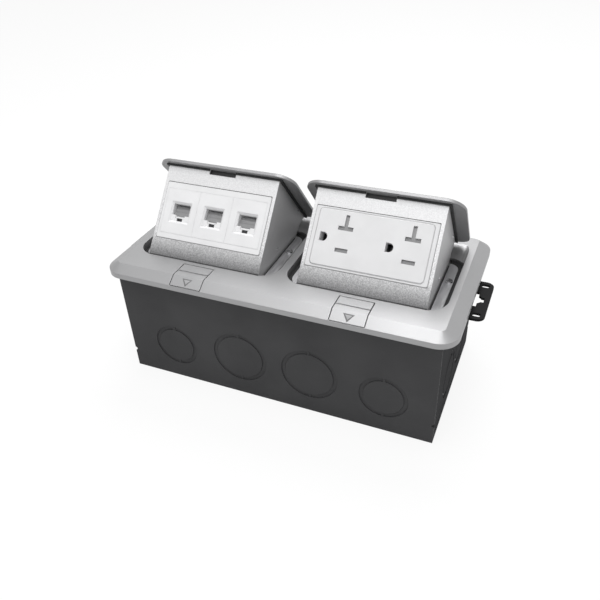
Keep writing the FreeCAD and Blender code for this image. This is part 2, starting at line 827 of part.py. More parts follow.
def housing():
    join = skirt_join_angle()
    relief_start = 180 - math.degrees(math.asin((lid_under_z - hinge_z) / rear_relief_r))
    upper = arm_tangent(rear_relief_r, rear_relief_angle, -1)
    lower = arm_tangent(skirt_r, skirt_end_angle, 1) - 360
    outer = side_profile([
        face_top, about_hinge(rear_relief_r, relief_start),
        hinge_arc(rear_relief_r, relief_start, rear_relief_angle),
        about_hinge(knuckle_r, upper), hinge_arc(knuckle_r, upper, lower),
        about_hinge(skirt_r, skirt_end_angle), hinge_arc(skirt_r, skirt_end_angle, join)], -half_module, half_module)
    lean = math.radians(face_lean)
    inside_r = skirt_r - module_wall
    inner_top = lid_under_z - module_wall
    inner_y = face_top[0] + module_wall * (1 / math.cos(lean) + math.tan(lean))
    ay, az = inner_y - hinge_y, inner_top - hinge_z
    dy, dz = math.sin(lean), -math.cos(lean)
    along = ay * dy + az * dz
    length = -along + math.sqrt(along * along - (ay * ay + az * az - inside_r * inside_r))
    inner_join = (inner_y + dy * length, inner_top + dz * length)
    far = hinge_y + cavity_overshoot
    past_end = skirt_end_angle + cavity_overturn_angle
    cavity = side_profile([
        (inner_y, inner_top), (far, inner_top), (far, hinge_z - skirt_r), about_hinge(inside_r, past_end),
        hinge_arc(inside_r, past_end, hinge_angle(inner_join))], -inner_half, inner_half)
    shell = outer.cut(cavity)
    stop_z = floor_z - collar_drop - stop_gap
    stop_start = 180 - math.degrees(math.asin((stop_z - hinge_z) / skirt_r)) + open_angle
    stop_end = stop_start + math.degrees(stop_ridge_thickness / skirt_r)
    ridge_r = skirt_r + stop_ridge_height
    seat_r = skirt_r - module_wall / 2
    ridge = side_profile([
        about_hinge(seat_r, stop_start), about_hinge(ridge_r, stop_start),
        hinge_arc(ridge_r, stop_start, stop_end), about_hinge(seat_r, stop_end)],
        -stop_ridge_width / 2, stop_ridge_width / 2)
    shell = shell.fuse(ridge)
    for hand in (-1, 1):
        ends = (V(hand * (inner_half - 1), hinge_y, hinge_z), V(hand * (half_module + 1), hinge_y, hinge_z))
        shell = shell.cut(rod(hinge_pin_r + hinge_running_gap, *ends))
        hook_y, hook_z = about_hinge(spring_hook_r, spring_hook_angle)
        room = spring_wire_r * spring_hook_room
        hole_x = sorted((hand * (inner_half - 1), hand * (half_module + 1)))
        shell = shell.cut(block(*hole_x, hook_y - room, hook_y + room, hook_z - room, hook_z + room))
    shell = swing_open(shell)
    window = face_rounded(window_width, window_top, window_top + window_height, window_r, -module_wall - 2, 2)
    notch = face_box(-notch_width / 2, notch_width / 2, -3, notch_height, -notch_depth, 2)
    return shell.cut(on_face(window)).cut(on_face(notch)).removeSplitter()


def lid():
    radii = (lid_front_r, lid_front_r, lid_rear_r, lid_rear_r)
    plate = rounded_block(-half_lid, half_lid, lid_front, lid_rear, radii, lid_under_z, flat_z)
    top_edges = [edge for edge in plate.Edges if edge.BoundBox.ZMin > flat_z - 0.01]
    return swing_open(plate.makeChamfer(lid_edge_chamfer, top_edges))


def lid_gasket():
    """Rubber ring under the lid, hugging the housing on three sides, open over the notch."""
    reach = half_module + gasket_inner_gap
    outer = reach + gasket_width
    rear = hinge_y - math.sqrt(rear_relief_r ** 2 - (lid_under_z - hinge_z) ** 2)
    front = face_top[0] - gasket_inner_gap
    low = lid_under_z - lid_gasket_height
    pieces = []
    for hand in (-1, 1):
        x0, x1 = sorted((hand * reach, hand * outer))
        strip = block(x0, x1, front - gasket_front_width, rear, low, lid_under_z)
        x0, x1 = sorted((hand * notch_width / 2, hand * outer))
        strip = strip.fuse(block(x0, x1, front - gasket_front_width, front, low, lid_under_z))
        pieces.append(swing_open(strip.removeSplitter()))
    return Part.makeCompound(pieces)


def striker():
    """Bent keeper plate under the top wall, seen through the notch."""
    top = lid_under_z - module_wall
    half = striker_width / 2
    front = face_top[0] + notch_depth + 0.6
    foot = block(-half, half, front, front + striker_foot, top - striker_sheet, top)
    drop = block(-half, half, front, front + striker_sheet, top - striker_drop, top)
    return swing_open(foot.fuse(drop).removeSplitter())


def shroud_plan():
    """Middle radius of the shroud's curved part and its bend and end points, lid shut."""
    mid_r = rear_relief_r + shroud_gap + shroud_sheet / 2
    end_r = skirt_r - module_wall - shroud_sheet
    return mid_r, about_hinge(mid_r, shroud_bend_angle), about_hinge(end_r, shroud_end_angle)


def rear_shroud():
    mid_r, bend, end = shroud_plan()
    half = inner_half - shroud_side_gap
    inner_r, outer_r = mid_r - shroud_sheet / 2, mid_r + shroud_sheet / 2
    start = 180 - math.degrees(math.asin((lid_under_z - module_wall - hinge_z) / outer_r)) + 0.2
    curve = side_profile([
        about_hinge(inner_r, start), hinge_arc(inner_r, start, shroud_bend_angle),
        about_hinge(outer_r, shroud_bend_angle), hinge_arc(outer_r, shroud_bend_angle, start)], -half, half)
    way = V(0, end[0] - bend[0], end[1] - bend[1])
    across = V(0, -way.z, way.y) * (shroud_sheet / 2 / way.Length)
    start_point, end_point = V(0, *bend), V(0, *end)
    corners = [start_point + across, end_point + across, end_point - across, start_point - across]
    floor = side_profile([(corner.y, corner.z) for corner in corners], -half, half)
    centre = start_point + way * 0.42
    bore = rod(cable_hole_r, centre - across * 8, centre + across * 8)
    round_bend = Part.makeCylinder(shroud_sheet / 2, 2 * half, V(-half, *bend), X_AXIS)
    return swing_open(curve.fuse(floor).fuse(round_bend).cut(bore).removeSplitter())


def data_bezel():
    width = window_width - 2 * insert_gap
    top, bottom = window_top + insert_gap, window_top + window_height - insert_gap
    ring = face_rounded(width, top, bottom, window_r - 0.1, -insert_depth, insert_proud)
    inside = face_box(-data_pitch * data_count / 2 - data_plate_gap, data_pitch * data_count / 2 + data_plate_gap,
                      data_top, data_top + data_height, -insert_depth - 1, insert_proud + 1)
    lip = face_box(-inner_half + 0.3, inner_half - 0.3, top - 1.2, bottom + 1.2, -insert_depth, -module_wall - 0.02)
    lip = lip.cut(inside)
    return on_face(ring.cut(inside).fuse(lip).removeSplitter())


def socket_cutter(depth):
    """Eight-way socket cavity, in face coordinates, centred on X."""
    low = socket_top + socket_height
    step = low + socket_step_height
    key = step + socket_key_height
    hole = face_box(-socket_width / 2, socket_width / 2, socket_top, low, -depth, 1)
    hole = hole.fuse(face_box(-socket_step_width / 2, socket_step_width / 2, low - 1, step, -depth, 1))
    return hole.fuse(face_box(-socket_key_width / 2, socket_key_width / 2, step - 1, key, -depth, 1))


def socket_plate(index):
    x = (index - (data_count - 1) / 2) * data_pitch
    half = data_pitch / 2 - data_plate_gap
    front = insert_proud + 0.1
    plate = face_box(-half, half, data_top + data_plate_gap, data_top + data_height - data_plate_gap,
                     -insert_depth, front)
    bottom = socket_top + socket_height + socket_step_height + socket_key_height
    mouth = []
    for level, grow in ((front, socket_bevel), (front - socket_bevel_depth, 0.1)):
        half_mouth = socket_width / 2 + grow
        top, low = -(socket_top - grow), -(bottom + grow)
        points = [V(-half_mouth, low, level), V(half_mouth, low, level), V(half_mouth, top, level),
                  V(-half_mouth, top, level), V(-half_mouth, low, level)]
        mouth.append(Part.makePolygon(points))
    funnel = Part.makeLoft(mouth, True, True)
    plate = plate.cut(funnel).cut(socket_cutter(insert_depth + 1))
    return on_face(moved(plate.removeSplitter(), x))


def jack_body(index):
    x = (index - (data_count - 1) / 2) * data_pitch
    back = -insert_depth - jack_depth
    body = face_box(-jack_width / 2, jack_width / 2, jack_top, jack_top + jack_height, back, -insert_depth)
    neck = face_box(-jack_width / 2 - 1.4, jack_width / 2 + 1.4, jack_top + 3, jack_top + jack_height - 3,
                    back + 4, back + 12)
    body = body.fuse(neck).cut(socket_cutter(socket_depth + insert_depth))
    return on_face(moved(body.removeSplitter(), x))


def jack_contacts():
    """Spring wires that slope down from the roof of each socket."""
    wires = []
    for jack in range(data_count):
        jack_x = (jack - (data_count - 1) / 2) * data_pitch
        for index in range(contact_count):
            x = jack_x + (index - (contact_count - 1) / 2) * contact_pitch
            half = contact_size / 2
            wire = face_box(x - half, x + half, 0, contact_size, -contact_length, 0)
            wire.rotate(V(0, 0, 0), X_AXIS, -contact_lean)
            wire.translate(V(0, -socket_top - contact_gap, -insert_depth - contact_inset))
            wires.append(on_face(wire))
    return Part.makeCompound(wires)


def power_bezel():
    width = window_width - 2 * insert_gap
    top, bottom = window_top + insert_gap, window_top + window_height - insert_gap
    ring = face_rounded(width, top, bottom, window_r - 0.1, -insert_depth, insert_proud)
    lip = face_box(-inner_half + 0.3, inner_half - 0.3, top - 1.2, bottom + 1.2, -insert_depth, -module_wall - 0.02)
    hole = face_rounded(decor_width + 2 * decor_gap, decor_top - decor_gap, decor_top + decor_height + decor_gap,
                        decor_r + decor_gap, -insert_depth - 1, insert_proud + 1)
    return on_face(ring.fuse(lip).cut(hole).removeSplitter())


def outlet_cutters(back, front):
    """Ground holes, T slots and line slots of both outlets, in face coordinates."""
    cutters = []
    for outlet in range(2):
        x = ground_x + outlet * outlet_pitch
        round_r = ground_height / 2
        ground = rod(round_r, V(x + ground_width - 2 * round_r, -blade_centre, back),
                     V(x + ground_width - 2 * round_r, -blade_centre, front))
        flat = face_box(x - ground_width / 2, x + ground_width / 2, blade_centre - round_r, blade_centre + round_r,
                        back, front)
        left = face_box(x - ground_width / 2, x + ground_width - 2 * round_r, blade_centre - round_r,
                        blade_centre + round_r, back, front)
        cutters.append(ground.fuse(left).common(flat))
        blade_x = x + blade_from_ground
        bar = blade_centre - blade_spacing / 2
        line = blade_centre + blade_spacing / 2
        bar_top = bar - bar_slot_width / 2
        slot = face_box(blade_x - bar_slot_length / 2, blade_x + bar_slot_length / 2, bar_top,
                        bar + bar_slot_width / 2, back, front)
        slot = slot.fuse(face_box(blade_x - stem_slot_width / 2, blade_x + stem_slot_width / 2,
                                  bar_top - stem_slot_length, bar, back, front))
        cutters.append(slot)
        cutters.append(face_box(blade_x - line_slot_length / 2, blade_x + line_slot_length / 2,
                                line - line_slot_width / 2, line + line_slot_width / 2, back, front))
    return cutters


def receptacle_face():
    block_face = face_rounded(decor_width, decor_top, decor_top + decor_height, decor_r, -decor_back, decor_proud)
    top_edges = [edge for edge in block_face.Edges if edge.BoundBox.ZMin > decor_proud - 0.01]
    block_face = block_face.makeChamfer(decor_chamfer, top_edges)
    for cutter in outlet_cutters(-decor_back - 1, decor_proud + 1):
        block_face = block_face.cut(cutter)
    return on_face(block_face.removeSplitter())


def receptacle_yoke():
    middle = decor_top + decor_height / 2
    back = -decor_back - yoke_sheet
    plate = face_rounded(yoke_length, middle - yoke_width / 2, middle + yoke_width / 2, 3.0, back, -decor_back)
    window = face_box(-yoke_window_length / 2, yoke_window_length / 2, middle - yoke_window_width / 2,
                      middle + yoke_window_width / 2, back - 1, -decor_back + 1)
    plate = plate.cut(window)
    for x in (-yoke_screw_x, yoke_screw_x):
        hole_r = across_flats(yoke_screw_r + 0.1)
        plate = plate.cut(flatted_rod(hole_r, V(x, -middle, back - 1), V(x, -middle, -decor_back + 1)))
    return on_face(plate.removeSplitter())


def receptacle_body():
    middle = decor_top + decor_height / 2
    front = -decor_back - yoke_sheet
    back = front - receptacle_body_depth
    body = face_rounded(receptacle_body_width, middle - receptacle_body_height / 2,
                        middle + receptacle_body_height / 2, body_corner_r, back, front)
    boss = face_box(-yoke_window_length / 2 + 0.2, yoke_window_length / 2 - 0.2, middle - yoke_window_width / 2 + 0.2,
                    middle + yoke_window_width / 2 - 0.2, front - 1, -decor_back)
    body = body.fuse(boss)
    for cutter in outlet_cutters(-decor_back - blade_pocket_depth, -decor_back + 1):
        body = body.cut(cutter)
    return on_face(body.removeSplitter())


def power_contacts():
    """Brass contact leaves at the bottom of the blade pockets."""
    leaves = []
    base = -decor_back - blade_pocket_depth
    for cutter in outlet_cutters(base, base + contact_sheet):
        leaves.append(on_face(cutter.removeSplitter()))
    return Part.makeCompound(leaves)


def yoke_screws():
    screws = []
    middle = decor_top + decor_height / 2
    back = -decor_back - yoke_sheet
    for x in (-yoke_screw_x, yoke_screw_x):
        head = flatted_rod(yoke_screw_head_r, V(x, -middle, back - 1.6), V(x, -middle, back))
        shank = flatted_rod(yoke_screw_r, V(x, -middle, back), V(x, -middle, -insert_depth))
        screws.append(on_face(head.fuse(shank).removeSplitter()))
    return Part.makeCompound(screws)


def release_button():
    half = button_width / 2
    cap = side_profile(button_profile(), -half, half)
    ridge = side_profile([
        (button_ridge_y, flat_z - 0.3), (button_ridge_y, flat_z + button_ridge_height),
        (button_ridge_y + button_ridge_width * 0.3, flat_z + button_ridge_height),
        (button_ridge_y + button_ridge_width, flat_z - 0.3)], -half, half)
    stem = block(-stem_width / 2, stem_width / 2, stem_front, stem_rear, floor_z + bolt_top - bolt_thickness,
                 flat_z - button_thickness / 2)
    return cap.fuse(ridge).fuse(stem).removeSplitter()


def latch_bolt():
    half = bolt_width / 2
    top, low = floor_z + bolt_top, floor_z + bolt_top - bolt_thickness
    bolt = side_profile([(bolt_front, low), (bolt_front, top), (bolt_tip, top), (bolt_tip, top - 0.6),
                         (bolt_tip - 1.2, low)], -half, half)
    ear = block(half - 1, half + bolt_ear_reach, bolt_ear_front, bolt_ear_front + bolt_ear_length, low, top)
    hole = block(-stem_width / 2, stem_width / 2, stem_front, stem_rear, low - 1, top + 1)
    return bolt.fuse(ear).cut(hole).removeSplitter()


def release_spring():
    """Compression spring between the frame's seat and the bolt's ear."""
    start = plate_front + rim_wall_front + release_seat
    x = bolt_width / 2 + bolt_ear_reach / 2 + release_offset
    z = floor_z + bolt_top - bolt_thickness / 2
    return close_wound(release_spring_r, release_wire_r, V(x, start, z), V(x, bolt_ear_front, z))


def bolt_keeper():
    """Strap under the bolt that holds it up against the casting."""
    top = floor_z + bolt_top - bolt_thickness
    return block(-bolt_width / 2 - rail_width, bolt_width / 2 + bolt_ear_reach + rail_width, keeper_front,
                 opening_front - collar_wall, top - keeper_sheet, top)


def parts():
    nodes = {
        "trim_frame": trim_frame(),
        "flange_gasket": flange_gasket(),
        "back_box": back_box(),
        "centre_divider": centre_divider(),
        "fixing_tabs": fixing_tabs(),
        "earth_screw": earth_screw(),
        "frame_screws": frame_screws(),
        "jack_contacts": moved(jack_contacts(), -bay_centre),
        "data_bezel": moved(data_bezel(), -bay_centre),
        "power_bezel": moved(power_bezel(), bay_centre),
        "receptacle_face": moved(receptacle_face(), bay_centre),
        "receptacle_yoke": moved(receptacle_yoke(), bay_centre),
        "receptacle_body": moved(receptacle_body(), bay_centre),
        "power_contacts": moved(power_contacts(), bay_centre),
        "yoke_screws": moved(yoke_screws(), bay_centre),
    }
    for index, name in enumerate(("left", "middle", "right")):
        nodes["socket_plate_" + name] = moved(socket_plate(index), -bay_centre)
        nodes["jack_body_" + name] = moved(jack_body(index), -bay_centre)
    for name, side in (("left", -1), ("right", 1)):
        nodes["box_end_" + name] = box_end(side)
        nodes["mounting_ear_" + name] = mounting_ear(side)
    bracket = ledge_bracket()
    shared = {
        "lid": lid(), "lid_gasket": lid_gasket(), "housing": housing(), "rear_shroud": rear_shroud(),
        "striker": striker(), "hinge_pin": hinge_pin(),
        "spring_rod": spring_rod(), "torsion_spring": torsion_spring(),
        "release_button": release_button(), "latch_bolt": latch_bolt(), "release_spring": release_spring(),
        "bolt_keeper": bolt_keeper(), "right_bracket": bracket, "left_bracket": mirrored(bracket),
    }
    for bay, x in (("left", -bay_centre), ("right", bay_centre)):
        for name, shape in shared.items():
            nodes[bay + "_bay_" + name] = moved(shape, x)
    return nodes


def main():
    os.makedirs("parts", exist_ok=True)
    for name, shape in parts().items():
        if not shape.isValid():
            raise ValueError(name + " is not a valid shape")
        shape.exportStep("parts/" + name + ".step")
        print(name, len(shape.Solids), round(shape.Volume, 1))


main()
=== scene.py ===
import math

import bmesh
import bpy
from bpy.props import FloatProperty, FloatVectorProperty, PointerProperty
from mathutils import Matrix, Vector


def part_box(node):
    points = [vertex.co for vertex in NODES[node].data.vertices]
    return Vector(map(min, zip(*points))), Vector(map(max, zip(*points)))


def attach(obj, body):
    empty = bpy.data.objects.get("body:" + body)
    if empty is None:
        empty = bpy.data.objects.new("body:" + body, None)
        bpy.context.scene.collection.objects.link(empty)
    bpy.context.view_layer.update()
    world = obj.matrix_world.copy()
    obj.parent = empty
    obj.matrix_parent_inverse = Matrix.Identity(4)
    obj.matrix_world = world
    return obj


bl_info = {
    "name": "Floor Socket Box",
    "version": (1, 0, 0),
    "blender": (4, 5, 0),
    "location": "View3D > Sidebar > Floor Box",
    "description": "Dresses a two-bay pop-up floor socket box and sets its studio",
    "category": "Object",
}

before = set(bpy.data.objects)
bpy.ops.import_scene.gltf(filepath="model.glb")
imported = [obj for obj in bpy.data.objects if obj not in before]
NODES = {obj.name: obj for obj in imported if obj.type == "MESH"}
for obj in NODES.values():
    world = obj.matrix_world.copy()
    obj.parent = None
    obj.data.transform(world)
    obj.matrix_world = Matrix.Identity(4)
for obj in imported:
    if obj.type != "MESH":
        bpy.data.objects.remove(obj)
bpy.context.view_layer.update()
MM = 0.001
BAYS = ("left", "right")

# The face of an open module: middle of its top edge, angle from level, and the way down it
FACE_TOP = Vector((0, 3.72, 126.68)) * MM
FACE_TURN = math.radians(49.8)
FACE_DOWN = Vector((0, -math.cos(FACE_TURN), -math.sin(FACE_TURN)))
LID_OPEN = math.radians(50)


def bay_centre(bay):
    """X of a bay, read from its lid."""
    low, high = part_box(bay + "_bay_lid")
    return (low.x + high.x) / 2


def on_face(bay):
    """Matrix of an open module's face: X runs along it, Y up it from its top edge, Z out of it."""
    middle = FACE_TOP + Vector((bay_centre(bay), 0, 0))
    return Matrix.Translation(middle) @ Matrix.Rotation(FACE_TURN, 4, "X")


# Colours and small node helpers

def linear(hex_colour):
    """One sRGB hex colour as linear RGBA."""
    values = []
    for start in (1, 3, 5):
        value = int(hex_colour[start:start + 2], 16) / 255
        values.append(value / 12.92 if value <= 0.04045 else ((value + 0.055) / 1.055) ** 2.4)
    return (*values, 1.0)


def add_node(tree, kind, links=(), **settings):
    """Adds a node, sets its properties and sockets by name, and links outputs into it."""
    node = tree.nodes.new(kind)
    for name, value in settings.items():
        if hasattr(node, name):
            setattr(node, name, value)
        else:
            node.inputs[name.replace("_", " ")].default_value = value
    for source, socket in links:
        tree.links.new(source, node.inputs[socket])
    return node


def wire(tree, shader, **sources):
    """Links the first output of each given node into the shader's socket of that name."""
    for socket, node in sources.items():
        tree.links.new(node.outputs[0], shader.inputs[socket.replace("_", " ")])


def new_material(name):
    """Empty material with a Principled shader on its output."""
    made = bpy.data.materials.new(name)
    made.use_nodes = True
    tree = made.node_tree
    tree.nodes.clear()
    shader = add_node(tree, "ShaderNodeBsdfPrincipled")
    add_node(tree, "ShaderNodeOutputMaterial", [(shader.outputs[0], "Surface")])
    return made, tree, shader


def object_place(tree, stretch=(1, 1, 1)):
    """Object coordinates in metres, stretched for grain that runs one way."""
    place = add_node(tree, "ShaderNodeTexCoord")
    return add_node(tree, "ShaderNodeMapping", [(place.outputs["Object"], "Vector")], Scale=stretch)


def along(tree, vector, direction):
    """How far a vector output reaches in one direction."""
    node = add_node(tree, "ShaderNodeVectorMath", [(vector, 0)], operation="DOT_PRODUCT")
    node.inputs[1].default_value = direction
    return node.outputs["Value"]


def grain(tree, place, size_mm, detail=2.0):
    """Noise whose spots are about size_mm across."""
    return add_node(tree, "ShaderNodeTexNoise", [(place.outputs[0], "Vector")],
                    Scale=1 / (size_mm * MM), Detail=detail)


def tint(tree, source, dark, light, low=0.3, high=0.7):
    """Colour ramp between two hex colours."""
    ramp = add_node(tree, "ShaderNodeValToRGB", [(source, "Fac")])
    ramp.color_ramp.elements[0].position = low
    ramp.color_ramp.elements[0].color = linear(dark)
    ramp.color_ramp.elements[1].position = high
    ramp.color_ramp.elements[1].color = linear(light)
    return ramp


def mixed(tree, share, first, second, blend="MIX"):
    """Two colours mixed by a share."""
    return add_node(tree, "ShaderNodeMixRGB",
                    [(share, "Fac"), (first, "Color1"), (second, "Color2")], blend_type=blend)


def spread(tree, source, low, high, start=0.3, end=0.7):
    """Maps a pattern, from start to end, to a range of values from low to high."""
    return add_node(tree, "ShaderNodeMapRange", [(source, "Value")],
                    From_Min=start, From_Max=end, To_Min=low, To_Max=high)


def relief(tree, height, depth_mm, edge_mm=0.0):
    """Bump from a pattern, on top of rounded edges where edge_mm is given."""
    links = [(height, "Height")]
    if edge_mm:
        rounded = add_node(tree, "ShaderNodeBevel", samples=4, Radius=edge_mm * MM)
        links.append((rounded.outputs[0], "Normal"))
    return add_node(tree, "ShaderNodeBump", links, Strength=1.0, Distance=depth_mm * MM)


def coat(name, colours, rough, grain_mm, detail=3.0, tone_mm=0.0, relief_mm=0.0, edge_mm=0.0,
         stretch=(1, 1, 1), **constants):
    """Material whose roughness and relief follow one grain; its colour follows the same grain, or
    a broader one where tone_mm is given. The constants are set on the shader's own sockets."""
    made, tree, shader = new_material(name)
    place = object_place(tree, stretch)
    fine = grain(tree, place, grain_mm, detail).outputs["Fac"]
    tone = grain(tree, place, tone_mm).outputs["Fac"] if tone_mm else fine
    wire(tree, shader, Base_Color=tint(tree, tone, *colours), Roughness=spread(tree, fine, *rough))
    if relief_mm:
        wire(tree, shader, Normal=relief(tree, fine, relief_mm, edge_mm))
    for socket, value in constants.items():
        shader.inputs[socket.replace("_", " ")].default_value = value
    return made


# Materials

def satin_cast_zinc():
    """Die-cast zinc under a satin silver lacquer: broad soft highlights and a blasted grain."""
    return coat("satin_cast_zinc", ("#9a9a9b", "#a0a0a1"), (0.4, 0.48), 0.5, 4.0, tone_mm=45.0,
                relief_mm=0.008, edge_mm=0.35, Metallic=0.8)


def brushed_lid_plate():
    """Cast lid: faint brushed streaks along its top, and a plain dull cast surface underneath."""
    made, tree, shader = new_material("brushed_lid_plate")
    place = object_place(tree, (0.04, 1, 1))
    streaks = grain(tree, place, 0.45, 3.0).outputs["Fac"]
    turned_to = add_node(tree, "ShaderNodeTexCoord").outputs["Normal"]
    into_module = (0, -math.sin(LID_OPEN), -math.cos(LID_OPEN))
    under = spread(tree, along(tree, turned_to, into_module), 0.0, 1.0, 0.6, 0.9).outputs[0]
    brushed = tint(tree, streaks, "#8e8e8f", "#989899")
    cast = tint(tree, streaks, "#969697", "#9e9e9f")
    wire(tree, shader,
         Base_Color=mixed(tree, under, brushed.outputs[0], cast.outputs[0]),
         Roughness=spread(tree, streaks, 0.46, 0.56),
         Metallic=spread(tree, under, 1.0, 0.6, 0.0, 1.0),
         Normal=relief(tree, streaks, 0.008, 0.3))
    return made


def metallic_paint_and_painted_shade():
    """Silver powder coat, grainier down the face and smooth on the sides; painted shade darkens it
    down the face.
    """
    made, tree, shader = new_material("metallic_paint_and_painted_shade")
    place = object_place(tree)
    specks = grain(tree, place, 0.6, 5.0).outputs["Fac"]
    flakes = add_node(tree, "ShaderNodeTexVoronoi", [(place.outputs[0], "Vector")],
                      Scale=1 / (0.45 * MM))
    level = add_node(tree, "ShaderNodeMath", [(flakes.outputs["Color"], 0), (specks, 1)],
                     operation="MULTIPLY")
    dots = tint(tree, level.outputs[0], "#b4b4b5", "#ffffff", 0.08, 0.4)
    # Distances down the face over which painted shade darkens the coat, and over which its flakes
    # show more
    top = FACE_TOP.dot(FACE_DOWN)
    shade_start, shade_end = top + 44 * MM, top + 59 * MM
    flake_start, flake_end = top + 10 * MM, top + 46 * MM
    down = along(tree, place.outputs[0], FACE_DOWN)
    # Painted shade: the colour runs from light grey to dark grey down the face, where the surface
    # turns away from the light
    shade = spread(tree, down, 0, 1, shade_start, shade_end)
    tone = tint(tree, shade.outputs[0], "#e8e8e9", "#6c6c6d", 0.0, 1.0)
    strength = spread(tree, down, 0.25, 0.75, flake_start, flake_end)
    face = mixed(tree, strength.outputs[0], tone.outputs[0], dots.outputs[0], "MULTIPLY")
    turned_to = add_node(tree, "ShaderNodeTexCoord")
    across = add_node(tree, "ShaderNodeSeparateXYZ", [(turned_to.outputs["Normal"], "Vector")])
    sideways = add_node(tree, "ShaderNodeMath", [(across.outputs["X"], 0)], operation="ABSOLUTE")
    on_side = spread(tree, sideways.outputs[0], 0.0, 1.0, 0.6, 0.9)
    side = tint(tree, specks, "#b4b4b5", "#bcbcbd")
    wire(tree, shader,
         Base_Color=mixed(tree, on_side.outputs[0], face.outputs[0], side.outputs[0]),
         Roughness=spread(tree, specks, 0.4, 0.55),
         Normal=relief(tree, specks, 0.02, 0.3))
    shader.inputs["Metallic"].default_value = 0.2
    return made


def coated_sheet(name, gloss):
    """Sheet steel with a dark grey electro-coat: faint clouds, tiny dust specks, a given gloss."""
    return coat(name, ("#434344", "#49494a"), (0.55, 0.7), 0.8, 5.0, tone_mm=30.0,
                relief_mm=0.02, edge_mm=0.3, Specular_IOR_Level=gloss)


def black_ear_sheet():
    """Sheet steel with a black dip coat: near black, with a low sheen and slight runs."""
    return coat("black_ear_sheet", ("#111112", "#19191a"), (0.4, 0.55), 4.0, relief_mm=0.03,
                edge_mm=0.3, Specular_IOR_Level=0.06)


def zinc_plated_sheet():
    """Zinc-plated pressed steel: duller than the casting, with faint rolling marks."""
    return coat("zinc_plated_sheet", ("#b0b0b2", "#c2c2c4"), (0.4, 0.55), 0.9, relief_mm=0.01,
                stretch=(1, 0.1, 1), Metallic=1.0)


def grey_lacquer(name, dark, light):
    """Grey stoved lacquer in the engraved triangle: thin and dull."""
    return coat(name, (dark, light), (0.5, 0.6), 0.3)


def nickel_screw():
    """Nickel-plated steel: bright, with light turning marks."""
    return coat("nickel_screw", ("#d8d8d9", "#ececed"), (0.15, 0.25), 0.3, Metallic=1.0)


def nickel_contact():
    """Nickel-plated contact wire and leaf: smooth and grey, with slight tarnish."""
    return coat("nickel_contact", ("#8f8f90", "#a9a9aa"), (0.25, 0.38), 1.5, Metallic=1.0)


def grey_shutter():
    """Grey moulded nylon of the outlet's shutters: dull, nearly even."""
    return coat("grey_shutter", ("#8c8c8d", "#969697"), (0.5, 0.62), 0.5)


def moulded_white(name, dark, light, low, high):
    """White moulded thermoplastic: nearly even colour, fine spark-eroded skin, soft gloss."""
    return coat(name, (dark, light), (low, high), 0.35, tone_mm=12.0, relief_mm=0.006,
                edge_mm=0.25)


def black_nylon_and_painted_shade():
    """Black moulded nylon with a light sheen; also the black of the plates and strips of painted
    shade and shadow.
    """
    return coat("black_nylon_and_painted_shade", ("#18181a", "#232325"), (0.4, 0.55), 0.4)


def gasket_rubber(name, dark, light):
    """Extruded EPDM rubber: dull, with a slightly chalky skin."""
    return coat(name, (dark, light), (0.65, 0.85), 0.6, 4.0, relief_mm=0.02)


MAKERS = {
    "satin_cast_zinc": satin_cast_zinc,
    "brushed_lid_plate": brushed_lid_plate,
    "metallic_paint_and_painted_shade": metallic_paint_and_painted_shade,
    "dark_coated_sheet": lambda: coated_sheet("dark_coated_sheet", 0.06),
    "matt_coated_sheet": lambda: coated_sheet("matt_coated_sheet", 0.0),
    "black_ear_sheet": black_ear_sheet,
    "zinc_plated_sheet": zinc_plated_sheet,
    "nickel_screw": nickel_screw,
    "nickel_contact": nickel_contact,
    "grey_shutter": grey_shutter,
    "black_nylon_and_painted_shade": black_nylon_and_painted_shade,
    "arrow_lacquer": lambda: grey_lacquer("arrow_lacquer", "#686869", "#707071"),
    "arrow_fill": lambda: grey_lacquer("arrow_fill", "#9c9c9d", "#a4a4a5"),
    # Black rubber of the flange gasket, also used for strips of painted shade along the windows'
    # tops and round the ledges
    "black_rubber_and_painted_shade": lambda: gasket_rubber("black_rubber_and_painted_shade", "#141415", "#202021"),
    "dark_grey_rubber": lambda: gasket_rubber("dark_grey_rubber", "#242425", "#2c2c2d"),
    "light_grey_rubber": lambda: gasket_rubber("light_grey_rubber", "#9a9a9b", "#a6a6a7"),
    "white_socket_plate":
        lambda: moulded_white("white_socket_plate", "#e2e2e3", "#e8e8e9", 0.3, 0.42),
    "white_receptacle":
        lambda: moulded_white("white_receptacle", "#dadadb", "#e0e0e1", 0.3, 0.4),
}
MATERIALS = {}


def material(name):
    """The material of that name, made at its first use."""
    if name not in MATERIALS:
        MATERIALS[name] = MAKERS[name]()
    return MATERIALS[name]


def dress(finish, *nodes):
    """Gives CAD nodes one finish."""
    for name in nodes:
        mesh = NODES[name].data
        mesh.materials.clear()
        mesh.materials.append(material(finish))


def dress_bays(finish, *endings):
    """The same for nodes that both bays have."""
    dress(finish, *(bay + "_bay_" + ending for bay in BAYS for ending in endings))


# Mesh helpers

SMOOTH_DEGREES = 35
SOFT_SMOOTH_DEGREES = 20
EDGE_BREAK = 0.12 * MM
WELD = 1e-7


def make_object(name, mesh_data, finish, body, smooth_deg=SMOOTH_DEGREES):
    """Makes one piece from a bmesh, which rides on a body."""
    mesh = bpy.data.meshes.new(name)
    mesh_data.to_mesh(mesh)
    mesh_data.free()
    piece = bpy.data.objects.new(name, mesh)
    bpy.context.scene.collection.objects.link(piece)
    mesh.materials.append(material(finish))
    for face in mesh.polygons:
        face.use_smooth = True
    mesh.set_sharp_from_angle(angle=math.radians(smooth_deg))
    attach(piece, body)
    return piece


